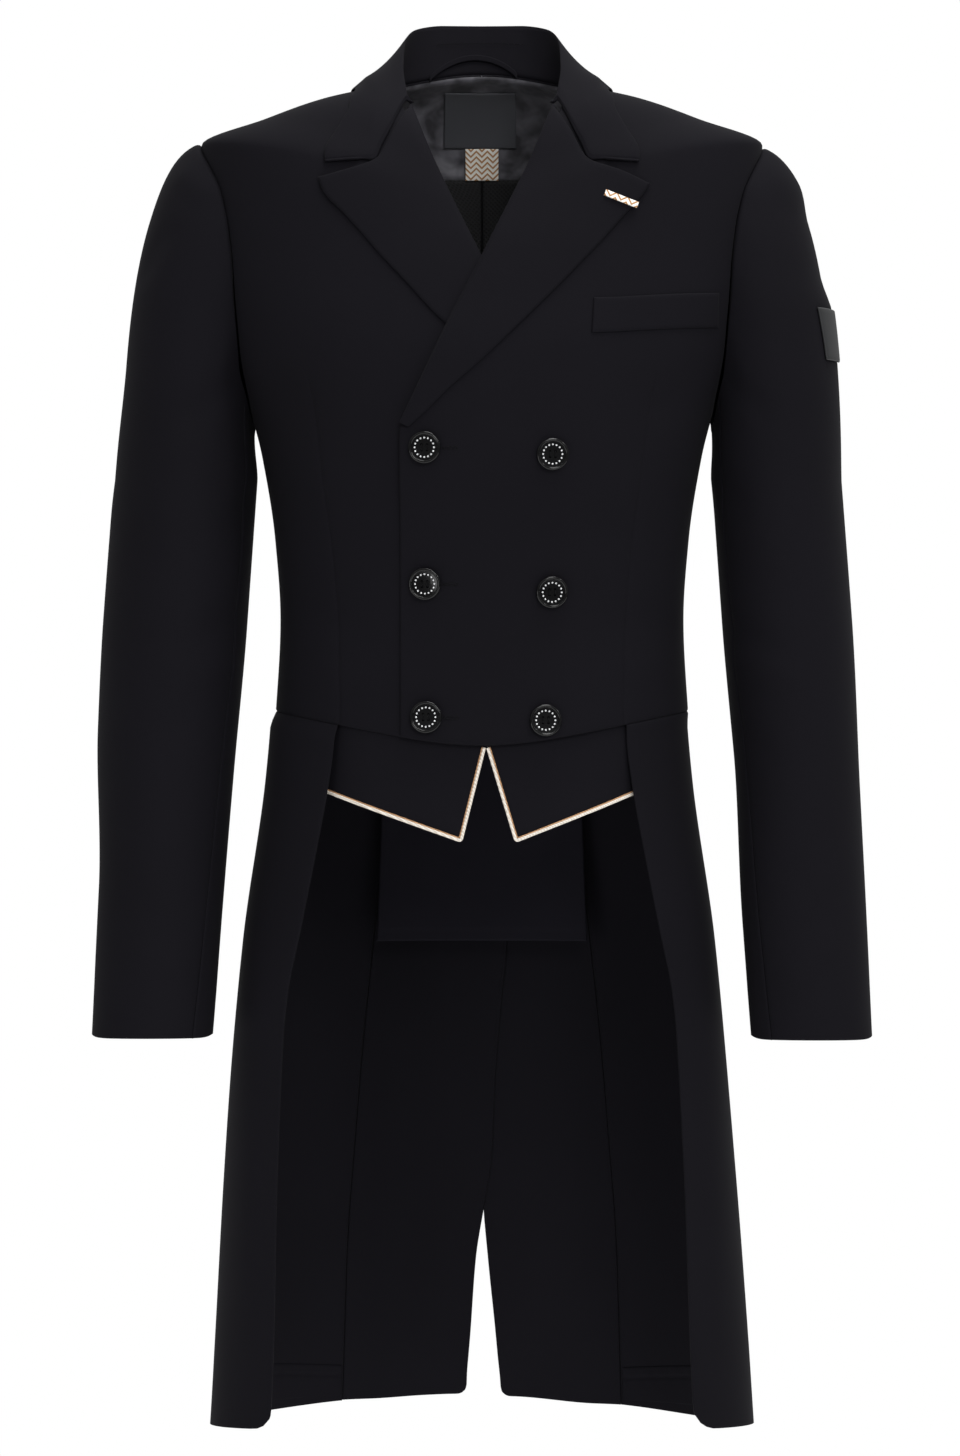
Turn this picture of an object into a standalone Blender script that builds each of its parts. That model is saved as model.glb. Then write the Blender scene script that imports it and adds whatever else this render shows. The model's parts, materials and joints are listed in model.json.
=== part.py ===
"""A dressage tailcoat, filled out as worn, with nobody in it.

Metres, +Z up. The front faces -Y and the wearer's left is +X. The origin is the middle of the
neck, at the height of the shoulder seams' neck ends. Every cloth piece is a thin wall: its outer
face is worked out on one body form and Solidify gives it its thickness.
"""

import math
from collections import namedtuple

import bmesh
import bpy
import numpy as np
from mathutils import Matrix, Vector

# ---------------------------------------------------------------- cloth and seams
WALL = 0.0015  # outer cloth
THIN = 0.0010  # lining, labels and ribbon
GAP = 0.0003  # between neighbouring pieces
PLY = WALL + GAP  # how far one layer lifts the next
SEAM = 0.0004  # where two pieces meet at an angle, each stands back this far
TUBE_GAP = 0.00060  # and this far at the sleeve seams
OVER, PRESSED = 0.0050, 0.0026  # lift of the overlapping front, over the lapel below it and under that
PRESSED_Z = (-0.345, -0.285)  # between these heights it goes from PRESSED to OVER
OVER_SIDE_X, OVER_NECK_Z = (0.110, 0.065), (-0.060, -0.140)  # and here from nothing to all of it

# ---------------------------------------------------------------- the body form
# One row for each ring round the body, hem to neck. A ring is level at its sides and may dip or
# rise at the front and back; square is the superellipse's power, 2 for an ellipse.
Ring = namedtuple("Ring", "side_z front_z back_z half_width front_depth back_depth square")
RINGS = (
    Ring(-1.012, -1.012, -1.012, 0.2065, 0.112, 0.150, 2.30),  # tail hem
    Ring(-0.832, -0.838, -0.832, 0.1940, 0.115, 0.140, 2.30),
    Ring(-0.650, -0.668, -0.650, 0.1780, 0.117, 0.122, 2.30),
    Ring(-0.528, -0.552, -0.530, 0.1610, 0.115, 0.104, 2.30),
    Ring(-0.476, -0.502, -0.480, 0.1565, 0.113, 0.097, 2.30),  # waist seam
    Ring(-0.407, -0.430, -0.408, 0.1530, 0.111, 0.097, 2.30),  # narrowest waist
    Ring(-0.346, -0.365, -0.346, 0.1570, 0.117, 0.106, 2.30),
    Ring(-0.285, -0.300, -0.284, 0.1665, 0.124, 0.117, 2.30),
    Ring(-0.262, -0.275, -0.260, 0.1720, 0.125, 0.120, 2.30),  # armhole bottom
    Ring(-0.200, -0.216, -0.194, 0.1930, 0.123, 0.124, 2.30),
    Ring(-0.140, -0.168, -0.128, 0.2060, 0.115, 0.122, 2.25),
    Ring(-0.085, -0.132, -0.078, 0.2120, 0.106, 0.115, 2.20),
    Ring(-0.047, -0.104, -0.040, 0.2130, 0.096, 0.107, 2.20),  # shoulder end
    Ring(-0.027, -0.081, -0.016, 0.1650, 0.086, 0.099, 2.10),
    Ring(-0.011, -0.060, 0.004, 0.1200, 0.077, 0.086, 2.05),
    Ring(0.000, -0.045, 0.016, 0.0700, 0.067, 0.066, 2.00),  # neck seam
)
HEM, WAIST, ARMPIT, SHOULDER, NECK = -1.012, -0.476, -0.262, -0.047, 0.0

# The armhole, as (angle from the side, ring), from the shoulder end round the front to the
# armpit and up the back. Angles are negative at the front.
Notch = namedtuple("Notch", "angle ring")
ARMHOLE = (
    Notch(0.0, SHOULDER),
    Notch(-8.0, -0.064),
    Notch(-13.0, -0.085),
    Notch(-15.5, -0.112),
    Notch(-16.5, -0.145),
    Notch(-16.0, -0.180),
    Notch(-13.5, -0.212),
    Notch(-9.5, -0.238),
    Notch(-4.0, -0.254),
    Notch(2.0, ARMPIT),
    Notch(9.0, -0.252),
    Notch(14.5, -0.232),
    Notch(18.5, -0.205),
    Notch(21.0, -0.172),
    Notch(21.5, -0.140),
    Notch(19.5, -0.110),
    Notch(15.5, -0.084),
    Notch(9.5, -0.067),
)
BOTTOM_NOTCH = 9  # where the side seam meets the armhole, and hangs from it
SIDE_SEAM_ANGLE = ARMHOLE[BOTTOM_NOTCH].angle
BACK_NOTCH = 13  # where the side-back seam meets the armhole
FRONT_SEAM_NOTCH, BACK_SEAM_NOTCH = 7, 13  # where the two sleeve seams start

# Side-back seam: half distance between the two seams, at each height.
SIDE_BACK_Z = (-1.012, -0.892, -0.808, -0.738, -0.655, -0.560, -0.480, -0.410, -0.340, -0.270, -0.215)
SIDE_BACK_X = (0.1100, 0.1055, 0.0990, 0.0930, 0.0845, 0.0750, 0.0700, 0.0735, 0.0860, 0.1090, 0.1370)
SIDE_BACK_BEND = 0.085  # over this height it bends out to the armhole
# Front edge of each tail skirt.
TAIL_EDGE_Z = (-1.012, -0.967, -0.861, -0.754, -0.714, -0.682, -0.647, -0.580, -0.537, -0.500, -0.470)
TAIL_EDGE_X = (0.1575, 0.1560, 0.1535, 0.1490, 0.1465, 0.1425, 0.1350, 0.1215, 0.1135, 0.1085, 0.1070)
TAIL_CORNER = 0.016  # rounding of the skirt's front corner
SKIRT_HEM_SHARES = (0.0, 0.35, 0.7, 1.0)  # from the front corner to the side-back seam
SKIRT_HEM_RISES = (0.0040, -0.0015, -0.0025, 0.0)  # how much higher than the back the hem hangs there
# Edges of the centre-back vent. The wearer's right tail is the inner one.
VENT_TOP = -0.501
VENT_Z = (-1.012, -1.000, -0.963, -0.906, -0.862, -0.828, -0.767, -0.711, -0.655, -0.530)
VENT_INNER_X = (-0.0120, -0.0117, -0.0089, -0.0047, 0.0023, 0.0078, 0.0106, 0.0149, 0.0199, 0.0210)
VENT_OUTER_X = (0.0185, 0.0177, 0.0140, 0.0080, 0.0023, 0.0008, 0.0000, 0.0000, 0.0000, 0.0000)
VENT_CORNER = 0.008
TAIL_LAP = PLY + GAP  # how far inside the outer tail the inner one lies
TAIL_LAP_X = (0.062, 0.028)  # it eases in between these distances from the middle

# ---------------------------------------------------------------- fronts and lapels, seen from the front
FRONT_EDGE_X = -0.060  # free edge of the overlapping front, past the middle
UNDER_EDGE_X = 0.052  # free edge of the front below it
UNDER_BREAK_STEP = 0.004  # how far the under front's edge steps back at the break
BREAK_Z = -0.266  # where the roll line ends, at the top button
# Outlines of the two lapels as (x, z), for the wearer's left lapel. The under lapel is mirrored.
ROLL_LINE = (
    (-0.0600, -0.2640), (-0.0280, -0.1950), (0.0020, -0.1360), (0.0290, -0.0800),
    (0.0410, -0.0520), (0.0490, -0.0310), (0.0525, -0.0215),
)
GORGE = ((0.0525, -0.0215), (0.0660, -0.0440), (0.0795, -0.0670), (0.1030, -0.0750), (0.1260, -0.0840))
COLLAR_NOTCH, COLLAR_TIP = (0.0815, -0.0655), (0.1165, -0.0670)  # front end of the collar's fall
NOTCH_SHARE = 0.42  # how far along the lapel's top edge the notch is
OVER_LAPEL_EDGE = (
    (0.1260, -0.0840), (0.1147, -0.1020), (0.0910, -0.1300), (0.0550, -0.1710),
    (0.0100, -0.2070), (-0.0263, -0.2340), (-0.0450, -0.2520), (-0.0555, -0.2665),
)
UNDER_LAPEL_EDGE = (
    (0.1240, -0.0800), (0.1143, -0.0968), (0.0805, -0.1375), (0.0579, -0.1623),
    (0.0200, -0.1960), (-0.0230, -0.2300), (-0.0440, -0.2500), (-0.0555, -0.2665),
)
ROLL_RADIUS = WALL + GAP / 2  # outside radius of the fold at the roll line
FLANGE = 0.002  # cloth of the lapel below the fold, up to the front's edge
NECK_STAND_OFF = 0.0026  # the front keeps this much further off the fold near the neck
NECK_STAND_OFF_Z = (-0.080, -0.040)
LAPEL_REST, LAPEL_PUFF = 0.0004, 0.0006  # air below the leaf: all over, and behind the roll line
LAPEL_NECK_LIFT = 0.0012  # and towards the gorge

# ---------------------------------------------------------------- collar
# One row for each station from the centre back to the gorge, on the wearer's left. The fold is
# the top line; mid and edge lie on the body form and are given by angle, ring and lift, but at the
# gorge by (x, z), where the notch and the tip show.
Station = namedtuple("Station", "neck_angle fold mid edge")
COLLAR = (
    Station(90.0, (0.0000, 0.0740, 0.0530), (90.0, -0.0030, 0.0100), (90.0, -0.0125, 0.0030)),
    Station(64.0, (0.0290, 0.0700, 0.0530), (64.0, -0.0028, 0.0100), (66.0, -0.0118, 0.0030)),
    Station(38.0, (0.0520, 0.0480, 0.0480), (39.0, -0.0026, 0.0140), (42.0, -0.0092, 0.0034)),
    Station(13.0, (0.0590, 0.0170, 0.0310), (14.0, -0.0030, 0.0120), (17.0, -0.0072, 0.0034)),
    Station(-10.0, (0.0595, -0.0120, 0.0120), (-9.0, -0.0035, 0.0080), (-8.0, -0.0058, 0.0030)),
    Station(-28.0, (0.0575, -0.0330, -0.0045), (-30.0, -0.0060, 0.0045), (-27.5, -0.0140, 0.0028)),
    Station(-40.0, (0.0560, -0.0440, -0.0140), COLLAR_NOTCH, COLLAR_TIP),
)
COLLAR_END_LIFT = 0.0030
CROWN_REACH, CROWN_RISE = 0.10, 0.0010  # roundness of the fold

# ---------------------------------------------------------------- sleeves
# One row for each ring below the cap: the tube's middle, its half sizes and its twist.
Cuff = namedtuple("Cuff", "z middle_x middle_y half_x half_y twist")
SLEEVE = (
    Cuff(-0.300, 0.2220, 0.0040, 0.0513, 0.0690, 0.0),
    Cuff(-0.407, 0.2295, -0.0020, 0.0515, 0.0650, 0.0),
    Cuff(-0.528, 0.2373, -0.0110, 0.0488, 0.0590, -5.0),
    Cuff(-0.650, 0.2443, -0.0290, 0.0467, 0.0510, -11.0),
    Cuff(-0.724, 0.2478, -0.0420, 0.0455, 0.0465, -16.0),
)
CAP_TOP_PULL, CAP_FOOT_PULL = 0.045, 0.010  # how far the cap runs out from the armhole seam
CAP_TOP_DROP, CAP_FOOT_DROP = 0.130, 0.012  # how long it is already vertical above the first ring
CAP_FULLNESS = 0.30  # ease at the front and back of the cap

# ---------------------------------------------------------------- small pieces, seen from the front
BUTTON_RADIUS, BUTTON_THICKNESS, BUTTON_RIM = 0.0120, 0.0034, 0.0016
BUTTON_HOLE_RADIUS, BUTTON_HOLE_PITCH = 0.0011, 0.0040
BUTTONS = (  # centre of each button as (x, z): two rows, from the top down
    (-0.0416, -0.2823), (0.0508, -0.2871),
    (-0.0416, -0.3821), (0.0508, -0.3882),
    (-0.0409, -0.4812), (0.0463, -0.4835),
)
WELT = ((0.0802, -0.1979), (0.1760, -0.1896), (0.1765, -0.1637), (0.0819, -0.1717))
RIBBON_START, RIBBON_END, RIBBON_WIDTH = (0.0907, -0.0932), (0.1146, -0.1020), 0.0046
VEST_TOP, VEST_APEX_X, VEST_APEX_Z = -0.490, 0.0030, -0.5030
VEST_TOP_LIFT, VEST_FOOT_LIFT = -PLY - GAP, -0.0048
VEST_TIP_X, VEST_TIP_Z = (-0.0170, 0.0266), -0.5700
VEST_SIDE_X, VEST_SIDE_Z = 0.1230, -0.5330
VEST_SIDE_RISE = 0.006  # the waist seam climbs this much from the middle to the side
VEST_UNDER_SKIRT_X = (0.085, 0.115)
PIPING_RADIUS = 0.0013
PIPING_BEND, PIPING_END = 0.0022, 0.0030
FLAP_TOP, FLAP_BOTTOM = -0.4975, -0.6545
FLAP_TOP_HALF, FLAP_BOTTOM_HALF = 0.0770, 0.0830
FLAP_LIFT, FLAP_SWING = -TAIL_LAP - 2 * PLY, 0.0010
BACK_COLUMNS = 9
YOKE_LINING_RING = ARMHOLE[-1].ring
LABEL_LIFT = -WALL - 6 * GAP - 2 * THIN
Label = namedtuple("Label", "name centre width top foot slot")
LABELS = (
    Label("neck_label", -0.0015, 0.0570, 0.0030, -0.0389, "badge"),
    Label("label_tape", 0.0000, 0.0260, -0.0392, -0.0647, "ribbon"),
)
HANGER_LEFT, HANGER_RIGHT, HANGER_RISE, HANGER_WIDTH = -0.0400, 0.0270, 0.0130, 0.0046
BADGE_ANGLES, BADGE_TOP, BADGE_FOOT = (36.0, 8.0), -0.1725, -0.2120

COLOURS = {
    "cloth": (0.012, 0.012, 0.016),
    "satin": (0.020, 0.020, 0.023),
    "mesh": (0.008, 0.008, 0.010),
    "piping": (0.78, 0.66, 0.55),
    "ribbon": (0.75, 0.68, 0.58),
    "button": (0.006, 0.006, 0.007),
    "badge": (0.025, 0.026, 0.028),
}


def eased(x):
    """Smooth step from 0 to 1."""
    x = np.clip(x, 0.0, 1.0)
    return x * x * (3.0 - 2.0 * x)


def fade(value, start, end):
    """0 before start, 1 after end and smooth between them."""
    return eased((value - start) / (end - start))


def through(knots, values, at):
    """A smooth curve through a table, without overshoot (monotone cubic)."""
    knots, values = np.asarray(knots, float), np.asarray(values, float)
    at = np.clip(np.asarray(at, float), knots[0], knots[-1])
    step = np.diff(knots)
    slope = np.diff(values) / step
    tangent = np.zeros_like(values)
    tangent[0], tangent[-1] = slope[0], slope[-1]
    same = slope[:-1] * slope[1:] > 0
    mean = 2 * slope[:-1] * slope[1:] / np.where(same, slope[:-1] + slope[1:], 1.0)
    tangent[1:-1] = np.where(same, mean, 0.0)
    cell = np.clip(np.searchsorted(knots, at, side="right") - 1, 0, len(step) - 1)
    t = (at - knots[cell]) / step[cell]
    low = values[cell] + t * t * (3 - 2 * t) * (values[cell + 1] - values[cell])
    bend = t * (1 - t) * ((1 - t) * tangent[cell] - t * tangent[cell + 1])
    return low + bend * step[cell]


RING_TABLE = np.array(RINGS)


def on_body(angle, ring):
    """Point of the body form. angle is in degrees from the wearer's left side, negative in front."""
    angle, ring = np.broadcast_arrays(np.asarray(angle, float), np.asarray(ring, float))
    side_z, front_z, back_z, half, front, back, square = (
        through(RING_TABLE[:, 0], column, ring) for column in RING_TABLE.T
    )
    across, along = np.cos(np.radians(angle)), np.sin(np.radians(angle))
    depth = np.where(along < 0, front, back)
    reach = (np.abs(across / half) ** square + np.abs(along / depth) ** square) ** (-1 / square)
    tilt = np.where(along < 0, front_z, back_z) - side_z
    return np.stack([reach * across, reach * along, side_z + tilt * along**2], axis=-1)


def off_body(angle, ring, lift):
    """Point of the body form moved out along its normal."""
    d_angle, d_ring = 0.05, 0.0002
    ring = np.clip(ring, HEM + d_ring, NECK - d_ring)
    here = on_body(angle, ring)
    around = on_body(np.asarray(angle) + d_angle, ring) - on_body(np.asarray(angle) - d_angle, ring)
    up = on_body(angle, ring + d_ring) - on_body(angle, ring - d_ring)
    normal = np.cross(around, up)
    normal /= np.linalg.norm(normal, axis=-1, keepdims=True)
    return here + normal * np.asarray(lift, float)[..., None]


def find_on_body(x, z, facing):
    """(angle, ring) of the body point that shows at (x, z) from the front (facing -1) or back (1)."""
    x, z = np.broadcast_arrays(np.asarray(x, float), np.asarray(z, float))
    ring = np.clip(z, HEM, NECK - 0.002)
    angle = 90.0 * facing - facing * np.degrees(np.arcsin(np.clip(x / 0.17, -0.95, 0.95)))
    for _ in range(14):
        here = on_body(angle, ring)
        by_angle = (on_body(angle + 0.05, ring) - here) / 0.05
        by_ring = (on_body(angle, ring - 0.0002) - here) / -0.0002
        miss_x, miss_z = x - here[..., 0], z - here[..., 2]
        scale = by_angle[..., 0] * by_ring[..., 2] - by_ring[..., 0] * by_angle[..., 2]
        turn = (miss_x * by_ring[..., 2] - miss_z * by_ring[..., 0]) / scale
        rise = (by_angle[..., 0] * miss_z - by_angle[..., 2] * miss_x) / scale
        angle = angle + np.clip(turn, -12, 12)
        ring = np.clip(ring + np.clip(rise, -0.03, 0.03), HEM, NECK)
    return angle, ring


def show_at(x, z, lift, facing=-1):
    """Point of the body form that shows at (x, z), moved out by lift."""
    angle, ring = find_on_body(x, z, facing)
    return off_body(angle, ring, np.broadcast_to(lift, np.shape(angle)))


def angle_where(ring, line_z, line_x, facing):
    """Angle at which a ring crosses the line x(z) that is drawn on the front or back."""
    ring = np.atleast_1d(np.asarray(ring, float))
    low = np.full(ring.shape, 0.0)
    high = np.full(ring.shape, 178.0 * facing)
    for _ in range(40):
        middle = (low + high) / 2
        here = on_body(middle, ring)
        beyond = here[:, 0] > through(line_z, line_x, here[:, 2])
        low, high = np.where(beyond, middle, low), np.where(beyond, high, middle)
    return (low + high) / 2


# ---------------------------------------------------------------- making solids
def material_of(slot):
    """The sub-part's material, made once for each slot."""
    material = bpy.data.materials.get(slot)
    if material is None:
        material = bpy.data.materials.new(slot)
        material.use_nodes = True
        shader = material.node_tree.nodes["Principled BSDF"]
        shader.inputs["Base Color"].default_value = (*COLOURS[slot], 1.0)
        shader.inputs["Roughness"].default_value = 0.15 if slot == "button" else 0.75
        shader.inputs["Metallic"].default_value = 0.0
    return material


def add_object(name, mesh, slot, collection):
    part = bpy.data.objects.new(name, mesh)
    mesh.materials.append(material_of(slot))
    collection.objects.link(part)
    return part


def cloth_wall(name, points, slot, collection, outward, thickness=WALL):
    """A wall of cloth from its outer face. points is rows by columns; outward is a point outside."""
    rows, columns = points.shape[:2]
    grid = bmesh.new()
    bmesh.ops.create_grid(grid, x_segments=columns - 1, y_segments=rows - 1, size=0.5)
    for vertex in grid.verts:
        row = round((vertex.co.y + 0.5) * (rows - 1))
        column = round((vertex.co.x + 0.5) * (columns - 1))
        vertex.co = points[row, column]
    grid.normal_update()
    facing = sum((f.normal * f.calc_area() for f in grid.faces), Vector())
    if facing.dot(Vector(outward)) < 0:
        bmesh.ops.reverse_faces(grid, faces=grid.faces)
    mesh = bpy.data.meshes.new(name)
    grid.to_mesh(mesh)
    grid.free()
    mesh.shade_smooth()
    part = add_object(name, mesh, slot, collection)
    solidify = part.modifiers.new("cloth", "SOLIDIFY")
    solidify.thickness = thickness
    solidify.offset = -1.0
    return part


def inset(points, first_row=0.0, last_row=0.0, first_column=0.0, last_column=0.0):
    """Moves the outermost rows and columns inwards, to leave a gap at each seam."""
    points = points.copy()
    for edge, inner, by in ((0, 1, first_row), (-1, -2, last_row)):
        step = points[inner] - points[edge]
        points[edge] += by * step / np.linalg.norm(step, axis=-1, keepdims=True)
    for edge, inner, by in ((0, 1, first_column), (-1, -2, last_column)):
        step = points[:, inner] - points[:, edge]
        points[:, edge] += by * step / np.linalg.norm(step, axis=-1, keepdims=True)
    return points


def mirrored(points, side):
    return points * np.array([side, 1.0, 1.0])


def shares(count):
    return np.linspace(0.0, 1.0, count)


# ---------------------------------------------------------------- lines on the body
def notch_angles(first, last, rings):
    """Armhole angle at each ring, on the stretch between two notches."""
    stretch = sorted(((ARMHOLE + ARMHOLE[:1])[first : last + 1]), key=lambda notch: notch.ring)
    return through([n.ring for n in stretch], [n.angle for n in stretch], rings)


def side_back_angle(ring):
    return angle_where(ring, SIDE_BACK_Z, SIDE_BACK_X, facing=1)


def outer_front_angle(rings):
    """Outer edge of a front: side seam, front of the armhole, then shoulder seam."""
    below, above = rings <= ARMPIT, rings >= SHOULDER
    angle = notch_angles(0, BOTTOM_NOTCH, rings)
    return np.where(below, SIDE_SEAM_ANGLE, np.where(above, 0.0, angle))


def outer_back_angle(rings):
    """Outer edge of a back: side-back seam, back of the armhole, then shoulder seam."""
    junction = ARMHOLE[BACK_NOTCH].ring
    seam = side_back_angle(np.minimum(rings, junction))
    reach = fade(rings, junction - SIDE_BACK_BEND, junction)
    seam = seam + (ARMHOLE[BACK_NOTCH].angle - side_back_angle(junction)) * reach
    hole = notch_angles(BACK_NOTCH, len(ARMHOLE), rings)
    return np.where(rings <= junction, seam, np.where(rings >= SHOULDER, 0.0, hole))


def over_lift(points):
    """Lift of the overlapping front over the form: full at the middle, none at the sides and neck."""
    x, z = points[..., 0], points[..., 2]
    height = PRESSED + (OVER - PRESSED) * fade(z, *PRESSED_Z)
    return height * fade(x, *OVER_SIDE_X) * fade(z, *OVER_NECK_Z)


def lapel_lift(x, z, over):
    return over_lift(np.stack([x, z, z], -1)) * over


BODICE_SHARES = shares(10)  # rows of fronts, side bodies and backs between waist and armhole
YOKE_RINGS = [-0.036, -0.025, -0.015, -0.007, NECK]
FRONT_RINGS = np.concatenate([
    WAIST + BODICE_SHARES * (ARMPIT - WAIST),
    [notch.ring for notch in ARMHOLE[BOTTOM_NOTCH - 1 :: -1]],
    YOKE_RINGS,
])
BACK_RINGS = np.concatenate([
    [HEM, -1.000, -0.950, -0.895, -0.840, -0.785, -0.730, -0.675, -0.620, -0.565, -0.520, -0.496],
    WAIST + BODICE_SHARES * (ARMHOLE[BACK_NOTCH].ring - WAIST),
    [notch.ring for notch in ARMHOLE[BACK_NOTCH + 1 :]],
    [SHOULDER],
    YOKE_RINGS,
])
SKIRT_RINGS = BACK_RINGS[BACK_RINGS < WAIST + 0.0001]


def front_inner_angle(rings, over):
    """Inner edge of a front: its free edge up to the break, then the roll line."""
    roll_x, roll_z = np.array(ROLL_LINE).T
    edge_x = FRONT_EDGE_X if over else -UNDER_EDGE_X
    line_z = np.concatenate([[HEM, BREAK_Z - 0.002], roll_z])
    stand_off = ROLL_RADIUS + FLANGE + 4 * GAP + NECK_STAND_OFF * fade(roll_z, *NECK_STAND_OFF_Z)
    line_x = np.concatenate([[edge_x, edge_x], roll_x + stand_off])
    if not over:
        line_x[2] = edge_x + UNDER_BREAK_STEP
    return angle_where(rings, line_z, line_x, facing=-1)


def front_panel(name, over, columns, collection):
    """One front from side seam and armhole to its free edge and roll line, neck to waist."""
    rings = FRONT_RINGS
    outer, inner = outer_front_angle(rings), front_inner_angle(rings, over)
    share = shares(columns) ** 0.9
    angles = outer[:, None] + (inner - outer)[:, None] * share
    ring_grid = np.repeat(rings[:, None], columns, axis=1)
    lift = over_lift(on_body(angles, ring_grid)) * over
    points = off_body(angles, ring_grid, lift)
    points = inset(points, first_column=SEAM, first_row=GAP / 2)
    side = 1 if over else -1
    return cloth_wall(name, mirrored(points, side), "cloth", collection, (0, -1, 0))


def vent_edge(heights, inner):
    """x of a tail's vent edge at each height, on the wearer's own side of the coat."""
    edge = through(VENT_Z, VENT_INNER_X, heights) if inner else through(VENT_Z, VENT_OUTER_X, heights)
    return edge * (heights < VENT_TOP) * (-1 if inner else 1)


def back_grid(inner_tail, columns):
    """Angles and rings of a back's points, rows from the hem up, columns from its outer edge."""
    outer = outer_back_angle(BACK_RINGS)
    heights = on_body(90.0, BACK_RINGS)[:, 2]
    inner = angle_where(BACK_RINGS, heights, vent_edge(heights, inner_tail), facing=1)
    angles = outer[:, None] + (inner - outer)[:, None] * shares(columns)
    return angles, np.repeat(BACK_RINGS[:, None], columns, axis=1)


def back_panel(name, side, columns, collection):
    """One half of the back, neck to tail hem. The wearer's right tail laps inside the left one."""
    inner_tail = side < 0
    angles, ring_grid = back_grid(inner_tail, columns)
    flat = on_body(angles, ring_grid)
    lift = np.zeros(angles.shape)
    if inner_tail:
        near_middle = fade(flat[..., 0], *TAIL_LAP_X)
        lift = -TAIL_LAP * near_middle * (ring_grid < WAIST - 0.001)
    points = off_body(angles, ring_grid, lift)
    corner = np.clip(1 - (flat[0, :, 0] - flat[0, -1, 0]) / VENT_CORNER, 0, 1)
    points[0, :, 2] += VENT_CORNER * (1 - np.sqrt(1 - corner**2)) * 0.9
    points = inset(points, first_column=SEAM, last_column=GAP / 2)
    return cloth_wall(name, mirrored(points, side), "cloth", collection, (0, 1, 0))


def side_panel(name, side, collection):
    """The side body, from waist seam to the lower back of the armhole."""
    notches = ARMHOLE[BOTTOM_NOTCH : BACK_NOTCH + 1]
    top = np.array([notch.ring for notch in notches])
    across, climb = shares(len(notches)), BODICE_SHARES[:, None]
    ring_grid = WAIST + climb * (top - WAIST)
    seam = outer_back_angle(ring_grid[:, -1])[:, None]
    straight = SIDE_SEAM_ANGLE * (1 - across) + seam * across
    arm = np.array([notch.angle for notch in notches])
    angles = straight + (arm - straight[-1]) * climb**4
    points = inset(off_body(angles, ring_grid, 0 * angles), GAP / 2, 0.0, GAP, GAP)
    return cloth_wall(name, mirrored(points, side), "cloth", collection, (side, 0, 0))


def skirt_panel(name, side, columns, collection):
    """The tail skirt, from its cut-away front edge round the side to the side-back seam."""
    rings = SKIRT_RINGS
    front = angle_where(rings, TAIL_EDGE_Z, TAIL_EDGE_X, facing=-1)
    back = outer_back_angle(rings)
    share = shares(columns)
    angles = front[:, None] + (back - front)[:, None] * share
    ring_grid = np.repeat(rings[:, None], columns, axis=1)
    points = off_body(angles, ring_grid, np.zeros(angles.shape))
    run = np.linalg.norm(points[0] - points[0, 0], axis=-1)
    round_off = np.clip(1 - run / TAIL_CORNER, 0, 1)
    points[0, :, 2] += TAIL_CORNER * (1 - np.sqrt(1 - round_off**2)) * 0.9
    points[0, :, 2] += through(SKIRT_HEM_SHARES, SKIRT_HEM_RISES, share)
    points = inset(points, last_row=GAP / 2, last_column=GAP / 2)
    return cloth_wall(name, mirrored(points, side), "cloth", collection, (side, 0, 0))


# ---------------------------------------------------------------- lapels
def along(outline, share):
    """Point at a share of an outline's length, on a smooth curve through its points."""
    outline = np.asarray(outline, float)
    run = np.concatenate([[0], np.cumsum(np.linalg.norm(np.diff(outline, axis=0), axis=1))])
    return np.stack([through(run / run[-1], column, share) for column in outline.T], axis=-1)


def lapel(name, over, rows, columns, collection):
    """A peaked lapel: flange under the fold, the fold at the roll line, then the leaf."""
    edge = OVER_LAPEL_EDGE if over else UNDER_LAPEL_EDGE
    down, across = shares(rows)[:, None], shares(columns)[None, :]
    roll = along(ROLL_LINE[::-1], down[:, 0])
    outer = along(edge, down[:, 0])
    top = along(GORGE, np.interp(across[0], (0.0, 0.5, 1.0), (0.0, NOTCH_SHARE, 1.0)))
    top[0], top[-1] = roll[0], outer[0]
    foot = roll[-1] + (outer[-1] - roll[-1]) * across[0][:, None]
    ruled = roll[:, None] + (outer - roll)[:, None] * across[..., None]
    ruled += (1 - down[..., None]) ** 3 * (top - (roll[0] + (outer[0] - roll[0]) * across[0][:, None]))
    ruled[-1] = foot
    puff = (LAPEL_REST + LAPEL_NECK_LIFT * eased(1 - 4 * down)) * eased(across * 8)
    puff = puff + LAPEL_PUFF * np.sin(np.pi * across**0.6) * eased(3 - 3 * down)
    leaf_lift = lapel_lift(ruled[..., 0], ruled[..., 1], over) + PLY + puff
    tangent = np.gradient(roll, axis=0)
    inward = np.stack([-tangent[:, 1], tangent[:, 0]], -1)
    inward /= np.linalg.norm(inward, axis=1, keepdims=True)
    base = lapel_lift(roll[:, 0], roll[:, 1], over)
    ruled[:, 0] += inward * ROLL_RADIUS
    parts = [(ROLL_RADIUS + FLANGE, -math.pi / 2)]
    parts += [(ROLL_RADIUS * (1 - math.cos(turn)), turn) for turn in np.radians((-90, -45, 0, 45))]
    fold, fold_lift = [], []
    for back, turn in parts:
        fold.append(roll + inward * back)
        fold_lift.append(base + GAP / 2 + ROLL_RADIUS * math.sin(turn))
    flat = np.concatenate([np.stack(fold, 1), ruled], axis=1)
    lift = np.concatenate([np.stack(fold_lift, 1), leaf_lift], axis=1)
    points = show_at(flat[..., 0], flat[..., 1], lift)
    side = 1 if over else -1
    return cloth_wall(name, mirrored(points, side), "cloth", collection, (0, -1, 0))


# ---------------------------------------------------------------- collar
def mirror_half(half):
    """A line from the gorge to the middle and on to the other gorge, from its half."""
    return np.concatenate([mirrored(half[:0:-1], -1), half])


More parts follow.
